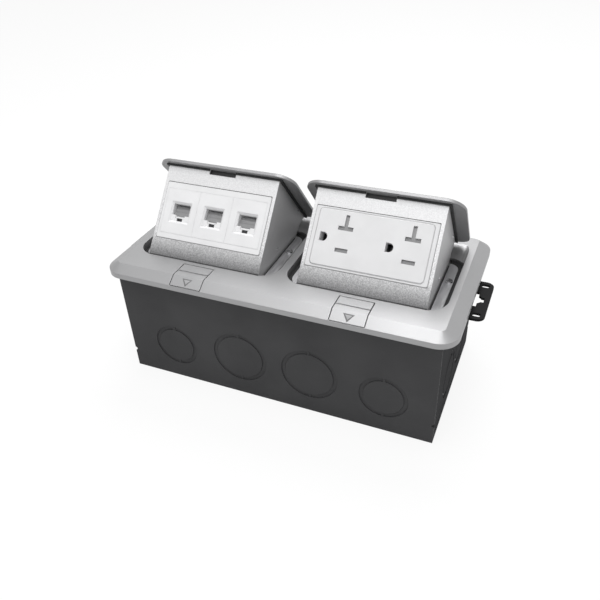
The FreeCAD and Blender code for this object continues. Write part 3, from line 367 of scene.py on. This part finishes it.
def turned(profile, place, steps=64):
    """Closed profile of (radius, height) in metres, turned round the local Z of a matrix."""
    data = bmesh.new()
    vertices = [data.verts.new((radius, 0, height)) for radius, height in profile]
    following = vertices[1:] + vertices[:1]
    edges = [data.edges.new(pair) for pair in zip(vertices, following)]
    bmesh.ops.spin(data, geom=vertices + edges, cent=(0, 0, 0), axis=(0, 0, 1),
                   angle=2 * math.pi, steps=steps, use_merge=True)
    bmesh.ops.remove_doubles(data, verts=data.verts, dist=WELD)
    bmesh.ops.dissolve_degenerate(data, dist=WELD, edges=data.edges)
    bmesh.ops.recalc_face_normals(data, faces=data.faces)
    data.transform(place)
    return data


def swept_rectangle(half_x, half_y, profile, place):
    """Closed profile of (outwards, up) swept round a rectangle with mitred corners."""
    data = bmesh.new()
    loops = []
    for out, height in profile:
        x, y = half_x + out, half_y + out
        loops.append([data.verts.new(corner) for corner in
                      ((-x, -y, height), (x, -y, height), (x, y, height), (-x, y, height))])
    for loop, following in zip(loops, loops[1:] + loops[:1]):
        for side in range(4):
            after = (side + 1) % 4
            data.faces.new((loop[side], loop[after], following[after], following[side]))
    bmesh.ops.recalc_face_normals(data, faces=data.faces)
    data.transform(place)
    return data


def raised(corners, low, high, place):
    """Flat prism from corners in the plane, with its upper edge slightly broken."""
    data = bmesh.new()
    base = [data.verts.new((x, y, low)) for x, y in corners]
    top = [data.verts.new((x, y, high)) for x, y in corners]
    data.faces.new(list(reversed(base)))
    upper = data.faces.new(top)
    for index in range(len(corners)):
        after = (index + 1) % len(corners)
        data.faces.new((base[index], base[after], top[after], top[index]))
    bmesh.ops.bevel(data, geom=list(upper.edges), offset=min(EDGE_BREAK, (high - low) / 3),
                    segments=2, affect="EDGES", profile=0.5)
    data.transform(place)
    bmesh.ops.recalc_face_normals(data, faces=data.faces)
    return data


def plate(x0, x1, y0, y1, low, high, place):
    """Rectangular plate with its upper edge slightly broken."""
    return raised(((x0, y0), (x1, y0), (x1, y1), (x0, y1)), low, high, place)


def strip_between(outer, inner, low, high, place):
    """Flat strip between two rows of points."""
    data = bmesh.new()
    rows = [[data.verts.new((x, y, height)) for x, y in points]
            for points, height in ((outer, low), (outer, high), (inner, high), (inner, low))]
    for row, following in zip(rows, rows[1:] + rows[:1]):
        for step in range(len(outer) - 1):
            data.faces.new((row[step], row[step + 1], following[step + 1], following[step]))
    data.faces.new([row[0] for row in rows])
    data.faces.new([row[-1] for row in reversed(rows)])
    data.transform(place)
    bmesh.ops.recalc_face_normals(data, faces=data.faces)
    return data


def crescent(radius, width, middle_angle, span, low, high, place, steps=40, least=0.08):
    """Strip inside a circle, widest at one angle and thinned to the least share at both ends."""
    outer, inner = [], []
    for step in range(steps + 1):
        offset = (step / steps - 0.5) * span
        angle = middle_angle + offset
        thin = width * max(least, math.cos(math.pi * offset / span))
        outer.append((radius * math.cos(angle), radius * math.sin(angle)))
        inner.append(((radius - thin) * math.cos(angle), (radius - thin) * math.sin(angle)))
    return strip_between(outer, inner, low, high, place)


def quarter_arc(centre_x, centre_y, radius, start, steps=12):
    """Points of a quarter circle that runs anticlockwise from an angle."""
    angles = [start + math.pi / 2 * step / steps for step in range(steps + 1)]
    return [(centre_x + radius * math.cos(angle), centre_y + radius * math.sin(angle))
            for angle in angles]


def joined(parts):
    """One bmesh from several."""
    whole = bmesh.new()
    for part in parts:
        mesh = bpy.data.meshes.new("part")
        part.to_mesh(mesh)
        part.free()
        whole.from_mesh(mesh)
        bpy.data.meshes.remove(mesh)
    return whole


def facing(direction, point):
    """Matrix that turns local +Z to a level direction and keeps local +Y up, at a point."""
    outwards = Vector(direction)
    across = Vector((0, 0, 1)).cross(outwards)
    turn = Matrix((across, Vector((0, 0, 1)), outwards)).transposed()
    return Matrix.Translation(Vector(point)) @ turn.to_4x4()


# Sizes, powers and colours that a user may change

class FloorBoxSizes(bpy.types.PropertyGroup):
    """Sizes of the added pieces, and the camera's lens"""

    disc_inset: FloatProperty(
        name="Knock-out groove", description="Width of the groove round each knock-out disc",
        default=2.7 * MM, min=0.5 * MM, unit="LENGTH")
    # Painted shadow: width of the black crescents that stand in for the shade beside each
    # knock-out's edges
    shadow_crescent_width: FloatProperty(
        name="Painted shadow", description="Widest place of the gap at a knock-out's sheared edge",
        default=0.9 * MM, min=0.1 * MM, unit="LENGTH")
    arrow_width: FloatProperty(
        name="Arrow width", description="Width of the triangle on each button",
        default=6.8 * MM, min=1 * MM, unit="LENGTH")
    arrow_length: FloatProperty(
        name="Arrow length", description="Length of the triangle on each button",
        default=5.0 * MM, min=1 * MM, unit="LENGTH")
    arrow_line: FloatProperty(
        name="Arrow outline", description="Width of the triangle's dark outline",
        default=0.7 * MM, min=0.1 * MM, unit="LENGTH")
    seal_width: FloatProperty(
        name="Window seal", description="Width of the seal round each insert",
        default=0.4 * MM, min=0.1 * MM, unit="LENGTH")
    shutter_depth: FloatProperty(
        name="Shutter depth", description="How far the shutters lie below the outlet's face",
        default=1.1 * MM, min=0.2 * MM, unit="LENGTH")
    rivet_radius: FloatProperty(
        name="Rivet radius", description="Radius of the rivets in the housings' side walls",
        default=0.9 * MM, min=0.2 * MM, unit="LENGTH")
    lens: FloatProperty(
        name="Lens", description="Focal length for a 36 mm sensor", default=38.77, min=10.0)


class FloorBoxLights(bpy.types.PropertyGroup):
    """Colour of the floor, and the strength of each light"""

    floor_colour: FloatVectorProperty(
        name="Floor colour", description="Colour of the studio floor",
        subtype="COLOR", size=3, default=(0.92, 0.92, 0.92), min=0, max=1)
    key_power: FloatProperty(
        name="Top softbox", description="Power of the overhead softbox",
        default=5.6, min=0, unit="POWER")
    back_power: FloatProperty(
        name="Rear softbox", description="Power of the softbox behind the object",
        default=7.2, min=0, unit="POWER")
    world_strength: FloatProperty(
        name="Room light", description="Strength of the even room light", default=0.52, min=0)


# Operators: one for each piece or group of like pieces

class FLOORBOX_OT_cover_frame(bpy.types.Operator):
    """Finish the cover frame and the two release buttons"""
    bl_idname = "floorbox.cover_frame"
    bl_label = "Cover Frame"

    def execute(self, context):
        dress("satin_cast_zinc", "trim_frame")
        dress_bays("satin_cast_zinc", "release_button")
        return {"FINISHED"}


class FLOORBOX_OT_back_box(bpy.types.Operator):
    """Finish the back box, its ends, ears, divider and tabs, and the flange gasket"""
    bl_idname = "floorbox.back_box"
    bl_label = "Back Box"

    def execute(self, context):
        dress("dark_coated_sheet", "back_box", "centre_divider", "fixing_tabs")
        dress("matt_coated_sheet", "box_end_left", "box_end_right")
        dress("black_ear_sheet", "mounting_ear_left", "mounting_ear_right")
        dress("black_rubber_and_painted_shade", "flange_gasket")
        return {"FINISHED"}


class FLOORBOX_OT_knockouts(bpy.types.Operator):
    """Add the raised disc of each knock-out, its ties, and black crescents of painted shadow beside
    its edges
    """
    bl_idname = "floorbox.knockouts"
    bl_label = "Knock-outs"

    # Radius of a recess, and the height of its centre
    small = (14.9 * MM, 26.1 * MM)
    large = (18.1 * MM, 29.3 * MM)
    small_x, large_x = 69.4 * MM, 23.25 * MM
    shift_x = 1.9 * MM
    end_y = 17.0 * MM
    groove_depth = 0.7 * MM
    disc_top = groove_depth - 0.04 * MM
    disc_break = 0.15 * MM
    disc_steps = 72
    tie_half_width = 0.8 * MM
    tie_root, tie_tip = 0.2 * MM, 0.02 * MM
    tie_top = disc_top * 0.6
    # Direction, span and height of the black crescents of painted shadow on the groove floor
    gap_angle, gap_span = math.radians(52), math.radians(170)
    shadow_top = 0.1 * MM

    def long_wall_places(self):
        """Matrix and radius of each recess; local +Z points out of the wall, from its floor."""
        low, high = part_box("back_box")
        for y, way in ((low.y, -1), (high.y, 1)):
            for x, size in ((-self.small_x, self.small), (-self.large_x, self.large),
                            (self.large_x, self.large), (self.small_x, self.small)):
                point = (x + self.shift_x, y - way * self.groove_depth, size[1])
                yield facing((0, way, 0), point), size[0]

    def end_wall_places(self):
        """The same for the end walls."""
        low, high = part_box("back_box")
        for x, way in ((low.x, -1), (high.x, 1)):
            for y in (-self.end_y, self.end_y):
                point = (x - way * self.groove_depth, y, self.small[1])
                yield facing((way, 0, 0), point), self.small[0]

    def disc(self, edge, place):
        """Raised disc with a broken rim."""
        profile = [(0, 0), (edge, 0), (edge, self.disc_top - self.disc_break),
                   (edge - self.disc_break, self.disc_top), (0, self.disc_top)]
        return turned(profile, place, self.disc_steps)

    def tie(self, side, edge, radius, place):
        """Narrow bridge from the disc to the wall, above or below the disc."""
        y0, y1 = sorted((side * (edge - self.tie_root), side * (radius + self.tie_tip)))
        return plate(-self.tie_half_width, self.tie_half_width, y0, y1, 0, self.tie_top, place)

    def stamp(self, walls, places, finish, sizes):
        """Makes the discs of a pair of walls, and the black crescents of painted shadow beside
        their edges.
        """
        gap = sizes.shadow_crescent_width
        discs, shadows = [], []
        for place, radius in places:
            edge = radius - sizes.disc_inset
            discs.append(self.disc(edge, place))
            for side in (-1, 1):
                discs.append(self.tie(side, edge, radius, place))
            # Painted shadow: black crescents on the groove floor, widest beside the edges that
            # shade it
            shadows.append(crescent(radius, gap, self.gap_angle, self.gap_span,
                                 0, self.shadow_top, place))
            shadows.append(crescent(edge + gap, gap, self.gap_angle + math.pi, self.gap_span,
                                 0, self.shadow_top, place))
        make_object(walls + "_wall_knockouts", joined(discs), finish, "box")
        make_object(walls + "_wall_painted_shadows", joined(shadows), "black_nylon_and_painted_shade", "box")

    def execute(self, context):
        sizes = context.scene.floor_box_sizes
        self.stamp("long", self.long_wall_places(), "dark_coated_sheet", sizes)
        self.stamp("end", self.end_wall_places(), "matt_coated_sheet", sizes)
        return {"FINISHED"}


class FLOORBOX_OT_modules(bpy.types.Operator):
    """Finish the lids, housings and what is inside them, and paint the shade in each finger notch
    with a black plate
    """
    bl_idname = "floorbox.modules"
    bl_label = "Pop-up Modules"

    notch_half = 9.0 * MM
    notch_top, notch_bottom = 0.1 * MM, 3.05 * MM
    # Depth and thickness of the black plate of painted shade behind the notch
    shade_plate_back = 0.9 * MM
    shade_plate_thickness = 0.8 * MM

    def execute(self, context):
        dress_bays("brushed_lid_plate", "lid")
        dress_bays("metallic_paint_and_painted_shade", "housing")
        dress_bays("dark_grey_rubber", "lid_gasket")
        dress_bays("zinc_plated_sheet", "rear_shroud")
        dress_bays("black_nylon_and_painted_shade", "striker")
        for bay in BAYS:
            # Painted shade: a black plate a little behind each finger notch, where the notch lies
            # in shade
            shade_plate = plate(-self.notch_half, self.notch_half, -self.notch_bottom, -self.notch_top,
                            -self.shade_plate_back - self.shade_plate_thickness, -self.shade_plate_back,
                            on_face(bay))
            make_object(bay + "_notch_painted_shade", shade_plate, "black_nylon_and_painted_shade", bay + "_module")
        return {"FINISHED"}


class FLOORBOX_OT_side_rivets(bpy.types.Operator):
    """Add the two rivets in each side wall of the housings"""
    bl_idname = "floorbox.side_rivets"
    bl_label = "Side Rivets"

    spots = (Vector((0, -5.5, 84.4)) * MM, Vector((0, 27.4, 93.9)) * MM)
    half_module = 38.15 * MM
    seat = -0.2 * MM
    # Share of the radius, and height above the wall
    dome = ((1.0, 0.08 * MM), (0.8, 0.25 * MM), (0.4, 0.34 * MM), (0.0, 0.37 * MM))
    head_steps = 24

    def execute(self, context):
        radius = context.scene.floor_box_sizes.rivet_radius
        profile = [(0, self.seat), (radius, self.seat)]
        profile += [(radius * share, height) for share, height in self.dome]
        for bay in BAYS:
            heads = []
            for hand in (-1, 1):
                for spot in self.spots:
                    point = spot + Vector((bay_centre(bay) + hand * self.half_module, 0, 0))
                    heads.append(turned(profile, facing((hand, 0, 0), point), self.head_steps))
            make_object(bay + "_side_rivets", joined(heads), "nickel_screw", bay + "_module")
        return {"FINISHED"}


class FLOORBOX_OT_window_seals(bpy.types.Operator):
    """Add the thin seal round each insert, and a black strip of painted shade along its top edge"""
    bl_idname = "floorbox.window_seals"
    bl_label = "Window Seals"

    half_width = 35.73 * MM
    top, bottom = 11.32 * MM, 46.78 * MM
    # Lower and upper side of the black strip of painted shade along the window's top
    lip_low, lip_high = 0.05 * MM, 0.25 * MM

    def section(self, width):
        """The seal's section: distance out from the window's edge, and height above the face."""
        return [(0.01 * MM, -0.2 * MM), (0.01 * MM, 0.12 * MM), (width * 0.5, 0.16 * MM),
                (width, 0.02 * MM), (0.12 * MM, -0.2 * MM)]

    def execute(self, context):
        width = context.scene.floor_box_sizes.seal_width
        middle = (self.top + self.bottom) / 2
        half_height = (self.bottom - self.top) / 2
        for bay in BAYS:
            place = on_face(bay) @ Matrix.Translation((0, -middle, 0))
            seal = swept_rectangle(self.half_width, half_height, self.section(width), place)
            make_object(bay + "_window_seal", seal, "light_grey_rubber", bay + "_module",
                        SOFT_SMOOTH_DEGREES)
            # Painted shade: a black strip along the window's top edge, where the joint below the
            # edge lies in shade
            lip = plate(-self.half_width, self.half_width, -self.top, -self.top + width,
                        self.lip_low, self.lip_high, on_face(bay))
            make_object(bay + "_window_top_painted_shade", lip, "black_rubber_and_painted_shade", bay + "_module",
                        SOFT_SMOOTH_DEGREES)
        return {"FINISHED"}


class FLOORBOX_OT_ledge_seals(bpy.types.Operator):
    """Add black foam seals round each ledge and a thin black seal along its inner edge, which also
    paint the shade in the space round the ledge
    """
    bl_idname = "floorbox.ledge_seals"
    bl_label = "Ledge Seals"

    # The opening in the casting; X is measured from the middle of the bay
    front, rear = -34.5 * MM, 26.6 * MM
    half_opening = 47.8 * MM
    front_radius, rear_radius = 12.0 * MM, 9.0 * MM
    # The ledge inside it
    inset, rear_room = 2.8 * MM, 5.1 * MM
    inner_front_radius, inner_rear_radius = 9.2 * MM, 6.0 * MM
    inner_x = 38.85 * MM
    # Lower and upper side of each seal; the seals are black, and also paint the shade in the space
    # round the ledge
    foam_and_shade_levels = (77.3 * MM, 77.9 * MM)
    bead_and_shade_levels = (78.55 * MM, 78.85 * MM)
    bead_width = 0.5 * MM
    fit = 0.05 * MM

    def edge_points(self, outer_x, front, rear, front_radius, rear_radius):
        """Points along the outer side of a ledge or opening, from the front to the rear."""
        front_arc = quarter_arc(outer_x - front_radius, front + front_radius, front_radius,
                                -math.pi / 2)
        rear_arc = quarter_arc(outer_x - rear_radius, rear - rear_radius, rear_radius, 0)
        return [(self.inner_x, front)] + front_arc + rear_arc + [(self.inner_x, rear)]

    def execute(self, context):
        outer = self.edge_points(self.half_opening - self.fit, self.front + self.fit,
                                 self.rear - self.fit, self.front_radius, self.rear_radius)
        inner = self.edge_points(self.half_opening - self.inset + self.fit,
                                 self.front + self.inset - self.fit,
                                 self.rear - self.rear_room + self.fit,
                                 self.inner_front_radius, self.inner_rear_radius)
        bead_front = self.front + 2 * self.inset
        bead_rear = self.rear - self.rear_room - self.inset
        for bay in BAYS:
            foam_and_shade_strips, bead_and_shade_strips = [], []
            for hand in (-1, 1):
                mirror = Matrix.Scale(hand, 4, (1, 0, 0))
                place = Matrix.Translation((bay_centre(bay), 0, 0)) @ mirror
                # Black seals that also paint the shade in the space round the ledge
                foam_and_shade_strips.append(strip_between(outer, inner, *self.foam_and_shade_levels, place))
                bead_and_shade_strips.append(plate(self.inner_x, self.inner_x + self.bead_width,
                                   bead_front, bead_rear, *self.bead_and_shade_levels, place))
            make_object(bay + "_ledge_foam_and_shade", joined(foam_and_shade_strips), "black_rubber_and_painted_shade", "box")
            make_object(bay + "_ledge_bead_and_shade", joined(bead_and_shade_strips), "black_rubber_and_painted_shade", "box")
        return {"FINISHED"}


class FLOORBOX_OT_data_insert(bpy.types.Operator):
    """Finish the data sockets, and add their carriers, sills and joints, and black plates of
    painted shade in each latch notch
    """
    bl_idname = "floorbox.data_insert"
    bl_label = "Data Sockets"

    pitch = 22.79 * MM
    plates_top, plates_bottom = 15.0 * MM, 43.6 * MM
    seam_half = 0.28 * MM
    seam_floor, seam_top, cross_seam_top = -0.5 * MM, 0.36 * MM, 0.34 * MM
    socket_half = 5.75 * MM
    # Steps of the contact carrier: start and end down the face, and height of the front
    carrier_steps = ((24.35 * MM, 26.9 * MM, -4.0 * MM), (26.9 * MM, 29.4 * MM, -3.2 * MM),
                     (29.4 * MM, 32.3 * MM, -2.4 * MM))
    carrier_depth = 1.5 * MM
    # The sill below it, and the black plate of painted shade in the latch notch below the sill
    sill_half, notch_half = 3.15 * MM, 1.9 * MM
    sill_top, sill_bottom, notch_bottom = 32.3 * MM, 33.3 * MM, 35.15 * MM
    sill_levels = (-2.0 * MM, -1.0 * MM)
    notch_shade_levels = (-2.0 * MM, -1.2 * MM)

    def seam_strips(self, place):
        """White strips that close the joints round the plates a little below their faces."""
        half = self.pitch * 1.5
        strips = []
        for x in (-half, -half / 3, half / 3, half):
            strips.append(plate(x - self.seam_half, x + self.seam_half,
                                -self.plates_bottom, -self.plates_top,
                                self.seam_floor, self.seam_top, place))
        for down in (self.plates_top, self.plates_bottom):
            strips.append(plate(-half, half, -down - self.seam_half, -down + self.seam_half,
                                self.seam_floor, self.cross_seam_top, place))
        make_object("socket_plate_joints", joined(strips), "white_socket_plate", "left_module")

    def contact_blocks(self, place):
        """Stepped contact carrier in each socket, with its sill, and a black plate of painted shade
        in the latch notch.
        """
        blocks, sills, notch_shades = [], [], []
        for jack in (-1, 0, 1):
            x = jack * self.pitch
            for start, end, front in self.carrier_steps:
                blocks.append(plate(x - self.socket_half, x + self.socket_half, -end, -start,
                                    front - self.carrier_depth, front, place))
            sills.append(plate(x - self.sill_half, x + self.sill_half,
                               -self.sill_bottom, -self.sill_top, *self.sill_levels, place))
            # Painted shade: a black plate in each latch notch, where the notch lies in shade
            notch_shades.append(plate(x - self.notch_half, x + self.notch_half,
                                 -self.notch_bottom, -self.sill_bottom, *self.notch_shade_levels, place))
        make_object("contact_carriers", joined(blocks), "grey_shutter", "left_module")
        make_object("socket_sills", joined(sills), "white_socket_plate", "left_module")
        make_object("latch_notch_shades", joined(notch_shades), "black_nylon_and_painted_shade", "left_module")

    def execute(self, context):
        dress("white_socket_plate", "data_bezel", "socket_plate_left", "socket_plate_middle",
              "socket_plate_right", "jack_body_left", "jack_body_middle", "jack_body_right")
        dress("nickel_contact", "jack_contacts")
        self.seam_strips(on_face("left"))
        self.contact_blocks(on_face("left"))
        return {"FINISHED"}


class FLOORBOX_OT_power_insert(bpy.types.Operator):
    """Finish the power outlets, and add their shutters"""
    bl_idname = "floorbox.power_insert"
    bl_label = "Power Outlets"

    outlet_pitch = 38.9 * MM
    first_blade_x = -16.0 * MM
    face_height = 0.9 * MM
    shutter_thickness = 1.5 * MM
    # Outlines of the two blade slots in millimetres: X from the blades' middle, Y up the face
    t_slot = ((-4.4, -23.75), (4.4, -23.75), (4.4, -21.45), (1.05, -21.45), (1.05, -14.85),
              (-1.05, -14.85), (-1.05, -21.45), (-4.4, -21.45))
    line_slot = ((-3.75, -36.4), (3.75, -36.4), (3.75, -34.2), (-3.75, -34.2))

    def shutters(self, depth):
        """The grey shutters that close the blade slots a little below the face."""
        top = self.face_height - depth
        pieces = []
        for outlet in range(2):
            blade_x = self.first_blade_x + outlet * self.outlet_pitch
            for outline in (self.t_slot, self.line_slot):
                corners = [(blade_x + x * MM, y * MM) for x, y in outline]
                pieces.append(raised(corners, top - self.shutter_thickness, top, on_face("right")))
        make_object("outlet_shutters", joined(pieces), "grey_shutter", "right_module")

    def execute(self, context):
        dress("white_receptacle", "power_bezel", "receptacle_face")
        dress("black_nylon_and_painted_shade", "receptacle_body")
        dress("zinc_plated_sheet", "receptacle_yoke")
        dress("nickel_contact", "power_contacts")
        dress("nickel_screw", "yoke_screws")
        self.shutters(context.scene.floor_box_sizes.shutter_depth)
        return {"FINISHED"}


class FLOORBOX_OT_hardware(bpy.types.Operator):
    """Finish the brackets, pins, springs and bolts, and paint the shade of the frame screws' driver
    slots with black strips
    """
    bl_idname = "floorbox.hardware"
    bl_label = "Hardware"

    head_radius = 2.2 * MM
    slot_half_length, slot_half_width = 0.85 * head_radius, 0.25 * MM
    slot_low, slot_high = -0.3 * MM, 0.03 * MM
    slot_turn = math.radians(25)

    def screw_slot_shades(self):
        """A black strip across each frame screw's head, painted shade in place of its driver slot.
        """
        low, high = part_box("frame_screws")
        reach = high.x - self.head_radius - bay_centre("right")
        turn = Matrix.Rotation(self.slot_turn, 4, "Z")
        slots = []
        for bay in BAYS:
            for hand in (-1, 1):
                point = (bay_centre(bay) + hand * reach, (low.y + high.y) / 2, high.z)
                # Painted shade: a black strip across the head, in place of the shade in the driver
                # slot
                slots.append(plate(-self.slot_half_length, self.slot_half_length,
                                   -self.slot_half_width, self.slot_half_width,
                                   self.slot_low, self.slot_high,
                                   Matrix.Translation(point) @ turn))
        make_object("screw_slot_shades", joined(slots), "black_nylon_and_painted_shade", "box")

    def execute(self, context):
        dress_bays("zinc_plated_sheet", "left_bracket", "right_bracket", "bolt_keeper",
                   "latch_bolt", "torsion_spring", "release_spring")
        dress_bays("nickel_screw", "hinge_pin", "spring_rod")
        dress("nickel_screw", "frame_screws", "earth_screw")
        self.screw_slot_shades()
        return {"FINISHED"}


class FLOORBOX_OT_button_arrows(bpy.types.Operator):
    """Add the outlined triangle on each release button"""
    bl_idname = "floorbox.button_arrows"
    bl_label = "Button Arrows"

    bevel_height, bevel_depth = 4.1 * MM, 6.2 * MM
    place_on_bevel = 0.52
    # How far the fill lies inside the outline at its corners and its tip, in line widths
    corner_inset, tip_inset = 1.9, 2.1
    rim_levels = (-0.2 * MM, 0.03 * MM)
    fill_levels = (-0.1 * MM, 0.06 * MM)

    def on_bevel(self, x):
        """Matrix on the front bevel: local +Y runs down the slope, +Z out of it."""
        front_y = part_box("trim_frame")[0].y
        flat_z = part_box("trim_frame")[1].z
        crest = Vector((x, front_y + self.bevel_depth, flat_z))
        foot = Vector((x, front_y, flat_z - self.bevel_height))
        down = (foot - crest).normalized()
        outwards = down.cross(Vector((1, 0, 0)))
        turn = Matrix((down.cross(outwards), down, outwards)).transposed()
        return Matrix.Translation(crest.lerp(foot, self.place_on_bevel)) @ turn.to_4x4()

    def execute(self, context):
        sizes = context.scene.floor_box_sizes
        half, tall, line = sizes.arrow_width / 2, sizes.arrow_length / 2, sizes.arrow_line
        outer = ((-half, -tall), (half, -tall), (0, tall))
        inner_half = half - self.corner_inset * line
        inner = ((-inner_half, -tall + line), (inner_half, -tall + line),
                 (0, tall - self.tip_inset * line))
        for bay in BAYS:
            place = self.on_bevel(bay_centre(bay))
            rim = raised(outer, *self.rim_levels, place)
            make_object(bay + "_button_arrow_line", rim, "arrow_lacquer", bay + "_release")
            fill = raised(inner, *self.fill_levels, place)
            make_object(bay + "_button_arrow", fill, "arrow_fill", bay + "_release")
        return {"FINISHED"}


class FLOORBOX_OT_stage(bpy.types.Operator):
    """Add the floor, the room, the lamps and the camera"""
    bl_idname = "floorbox.stage"
    bl_label = "Studio"

    floor_half = 6.0
    floor_drop = 0.2 * MM
    floor_glow = 0.88
    # Place, target and size of each lamp
    top_lamp = ((0.06, -0.2, 1.05), (0, 0, 0.08), 0.62)
    rear_lamp = ((-0.05, 0.6, 1.05), (0.03, 0, 0.08), 0.6)
    sensor = 36.0
    camera_place = (0.14152, -0.31557, 0.28974)
    camera_right = (0.92114, 0.38741, -0.03767)
    camera_up = (-0.19607, 0.54543, 0.8149)
    camera_back = (0.33624, -0.74325, 0.57838)

    def sight_rays(self, tree):
        """The light path, and a node that is 1 for rays from the camera and from reflections."""
        path = add_node(tree, "ShaderNodeLightPath")
        seen = add_node(tree, "ShaderNodeMath", [(path.outputs["Is Camera Ray"], 0),
                                                 (path.outputs["Is Glossy Ray"], 1)],
                        operation="MAXIMUM")
        return path, seen

    def floor(self, lights):
        """White paper floor, which looks nearly as white as the room and takes soft shadows."""
        data = bmesh.new()
        bmesh.ops.create_grid(data, x_segments=8, y_segments=8, size=self.floor_half)
        data.transform(Matrix.Translation((0, 0, -self.floor_drop)))
        mesh = bpy.data.meshes.new("studio_floor")
        data.to_mesh(mesh)
        data.free()
        floor = bpy.data.objects.new("studio_floor", mesh)
        bpy.context.scene.collection.objects.link(floor)
        paper = bpy.data.materials.new("white_paper_floor")
        paper.use_nodes = True
        tree = paper.node_tree
        tree.nodes.clear()
        diffuse = add_node(tree, "ShaderNodeBsdfDiffuse", Color=(*lights.floor_colour, 1))
        glow = add_node(tree, "ShaderNodeEmission", Strength=1.0)
        seen = self.sight_rays(tree)[1]
        share = add_node(tree, "ShaderNodeMath", [(seen.outputs[0], 0)], operation="MULTIPLY")
        share.inputs[1].default_value = self.floor_glow
        mix = add_node(tree, "ShaderNodeMixShader",
                       [(share.outputs[0], "Fac"), (diffuse.outputs[0], 1), (glow.outputs[0], 2)])
        add_node(tree, "ShaderNodeOutputMaterial", [(mix.outputs[0], "Surface")])
        mesh.materials.append(paper)

    def room(self, lights):
        """White room for the camera and for reflections, and a dimmer even light on surfaces."""
        world = bpy.data.worlds.new("studio_room")
        bpy.context.scene.world = world
        world.use_nodes = True
        tree = world.node_tree
        tree.nodes.clear()
        path, seen = self.sight_rays(tree)
        shown = add_node(tree, "ShaderNodeMath", [(seen.outputs[0], 0),
                                                  (path.outputs["Is Transmission Ray"], 1)],
                         operation="MAXIMUM")
        even = add_node(tree, "ShaderNodeBackground", Color=(1, 1, 1, 1),
                        Strength=lights.world_strength)
        white = add_node(tree, "ShaderNodeBackground", Color=(1, 1, 1, 1), Strength=1.0)
        mix = add_node(tree, "ShaderNodeMixShader",
                       [(shown.outputs[0], "Fac"), (even.outputs[0], 1), (white.outputs[0], 2)])
        add_node(tree, "ShaderNodeOutputWorld", [(mix.outputs[0], "Surface")])

    def softbox(self, name, place, target, size, power):
        """Square area lamp that points at a target."""
        data = bpy.data.lights.new(name, "AREA")
        data.shape = "SQUARE"
        data.size = size
        data.energy = power
        lamp = bpy.data.objects.new(name, data)
        lamp.location = place
        aim = Vector(target) - Vector(place)
        lamp.rotation_euler = aim.to_track_quat("-Z", "Y").to_euler()
        bpy.context.scene.collection.objects.link(lamp)

    def camera(self, context):
        """Camera at the photograph's viewing angle, from its place and its three axes."""
        data = bpy.data.cameras.new("photo_camera")
        data.lens = context.scene.floor_box_sizes.lens
        data.sensor_width = self.sensor
        camera = bpy.data.objects.new("photo_camera", data)
        turn = Matrix((self.camera_right, self.camera_up, self.camera_back)).transposed()
        camera.matrix_world = Matrix.Translation(self.camera_place) @ turn.to_4x4()
        bpy.context.scene.collection.objects.link(camera)
        context.scene.camera = camera

    def execute(self, context):
        lights = context.scene.floor_box_lights
        self.floor(lights)
        self.room(lights)
        self.softbox("top_softbox", *self.top_lamp, lights.key_power)
        self.softbox("rear_softbox", *self.rear_lamp, lights.back_power)
        self.camera(context)
        context.scene.view_settings.view_transform = "Standard"
        return {"FINISHED"}


class FLOORBOX_PT_panel(bpy.types.Panel):
    """Lists the pieces and the sizes"""
    bl_idname = "FLOORBOX_PT_panel"
    bl_label = "Floor Box"
    bl_space_type = "VIEW_3D"
    bl_region_type = "UI"
    bl_category = "Floor Box"

    def draw(self, context):
        layout = self.layout
        for operator in STEPS:
            layout.operator(operator.bl_idname)
        for group in (context.scene.floor_box_sizes, context.scene.floor_box_lights):
            box = layout.box()
            for name in type(group).__annotations__:
                box.prop(group, name)


STEPS = (
    FLOORBOX_OT_cover_frame,
    FLOORBOX_OT_back_box,
    FLOORBOX_OT_knockouts,
    FLOORBOX_OT_modules,
    FLOORBOX_OT_side_rivets,
    FLOORBOX_OT_window_seals,
    FLOORBOX_OT_ledge_seals,
    FLOORBOX_OT_data_insert,
    FLOORBOX_OT_power_insert,
    FLOORBOX_OT_hardware,
    FLOORBOX_OT_button_arrows,
    FLOORBOX_OT_stage,
)
CLASSES = (FloorBoxSizes, FloorBoxLights) + STEPS + (FLOORBOX_PT_panel,)


def register():
    for item in CLASSES:
        bpy.utils.register_class(item)
    bpy.types.Scene.floor_box_sizes = PointerProperty(type=FloorBoxSizes)
    bpy.types.Scene.floor_box_lights = PointerProperty(type=FloorBoxLights)


def unregister():
    del bpy.types.Scene.floor_box_lights
    del bpy.types.Scene.floor_box_sizes
    for item in reversed(CLASSES):
        bpy.utils.unregister_class(item)


def main():
    register()
    for operator in STEPS:
        group, name = operator.bl_idname.split(".")
        getattr(getattr(bpy.ops, group), name)()


if __name__ == "__main__":
    main()
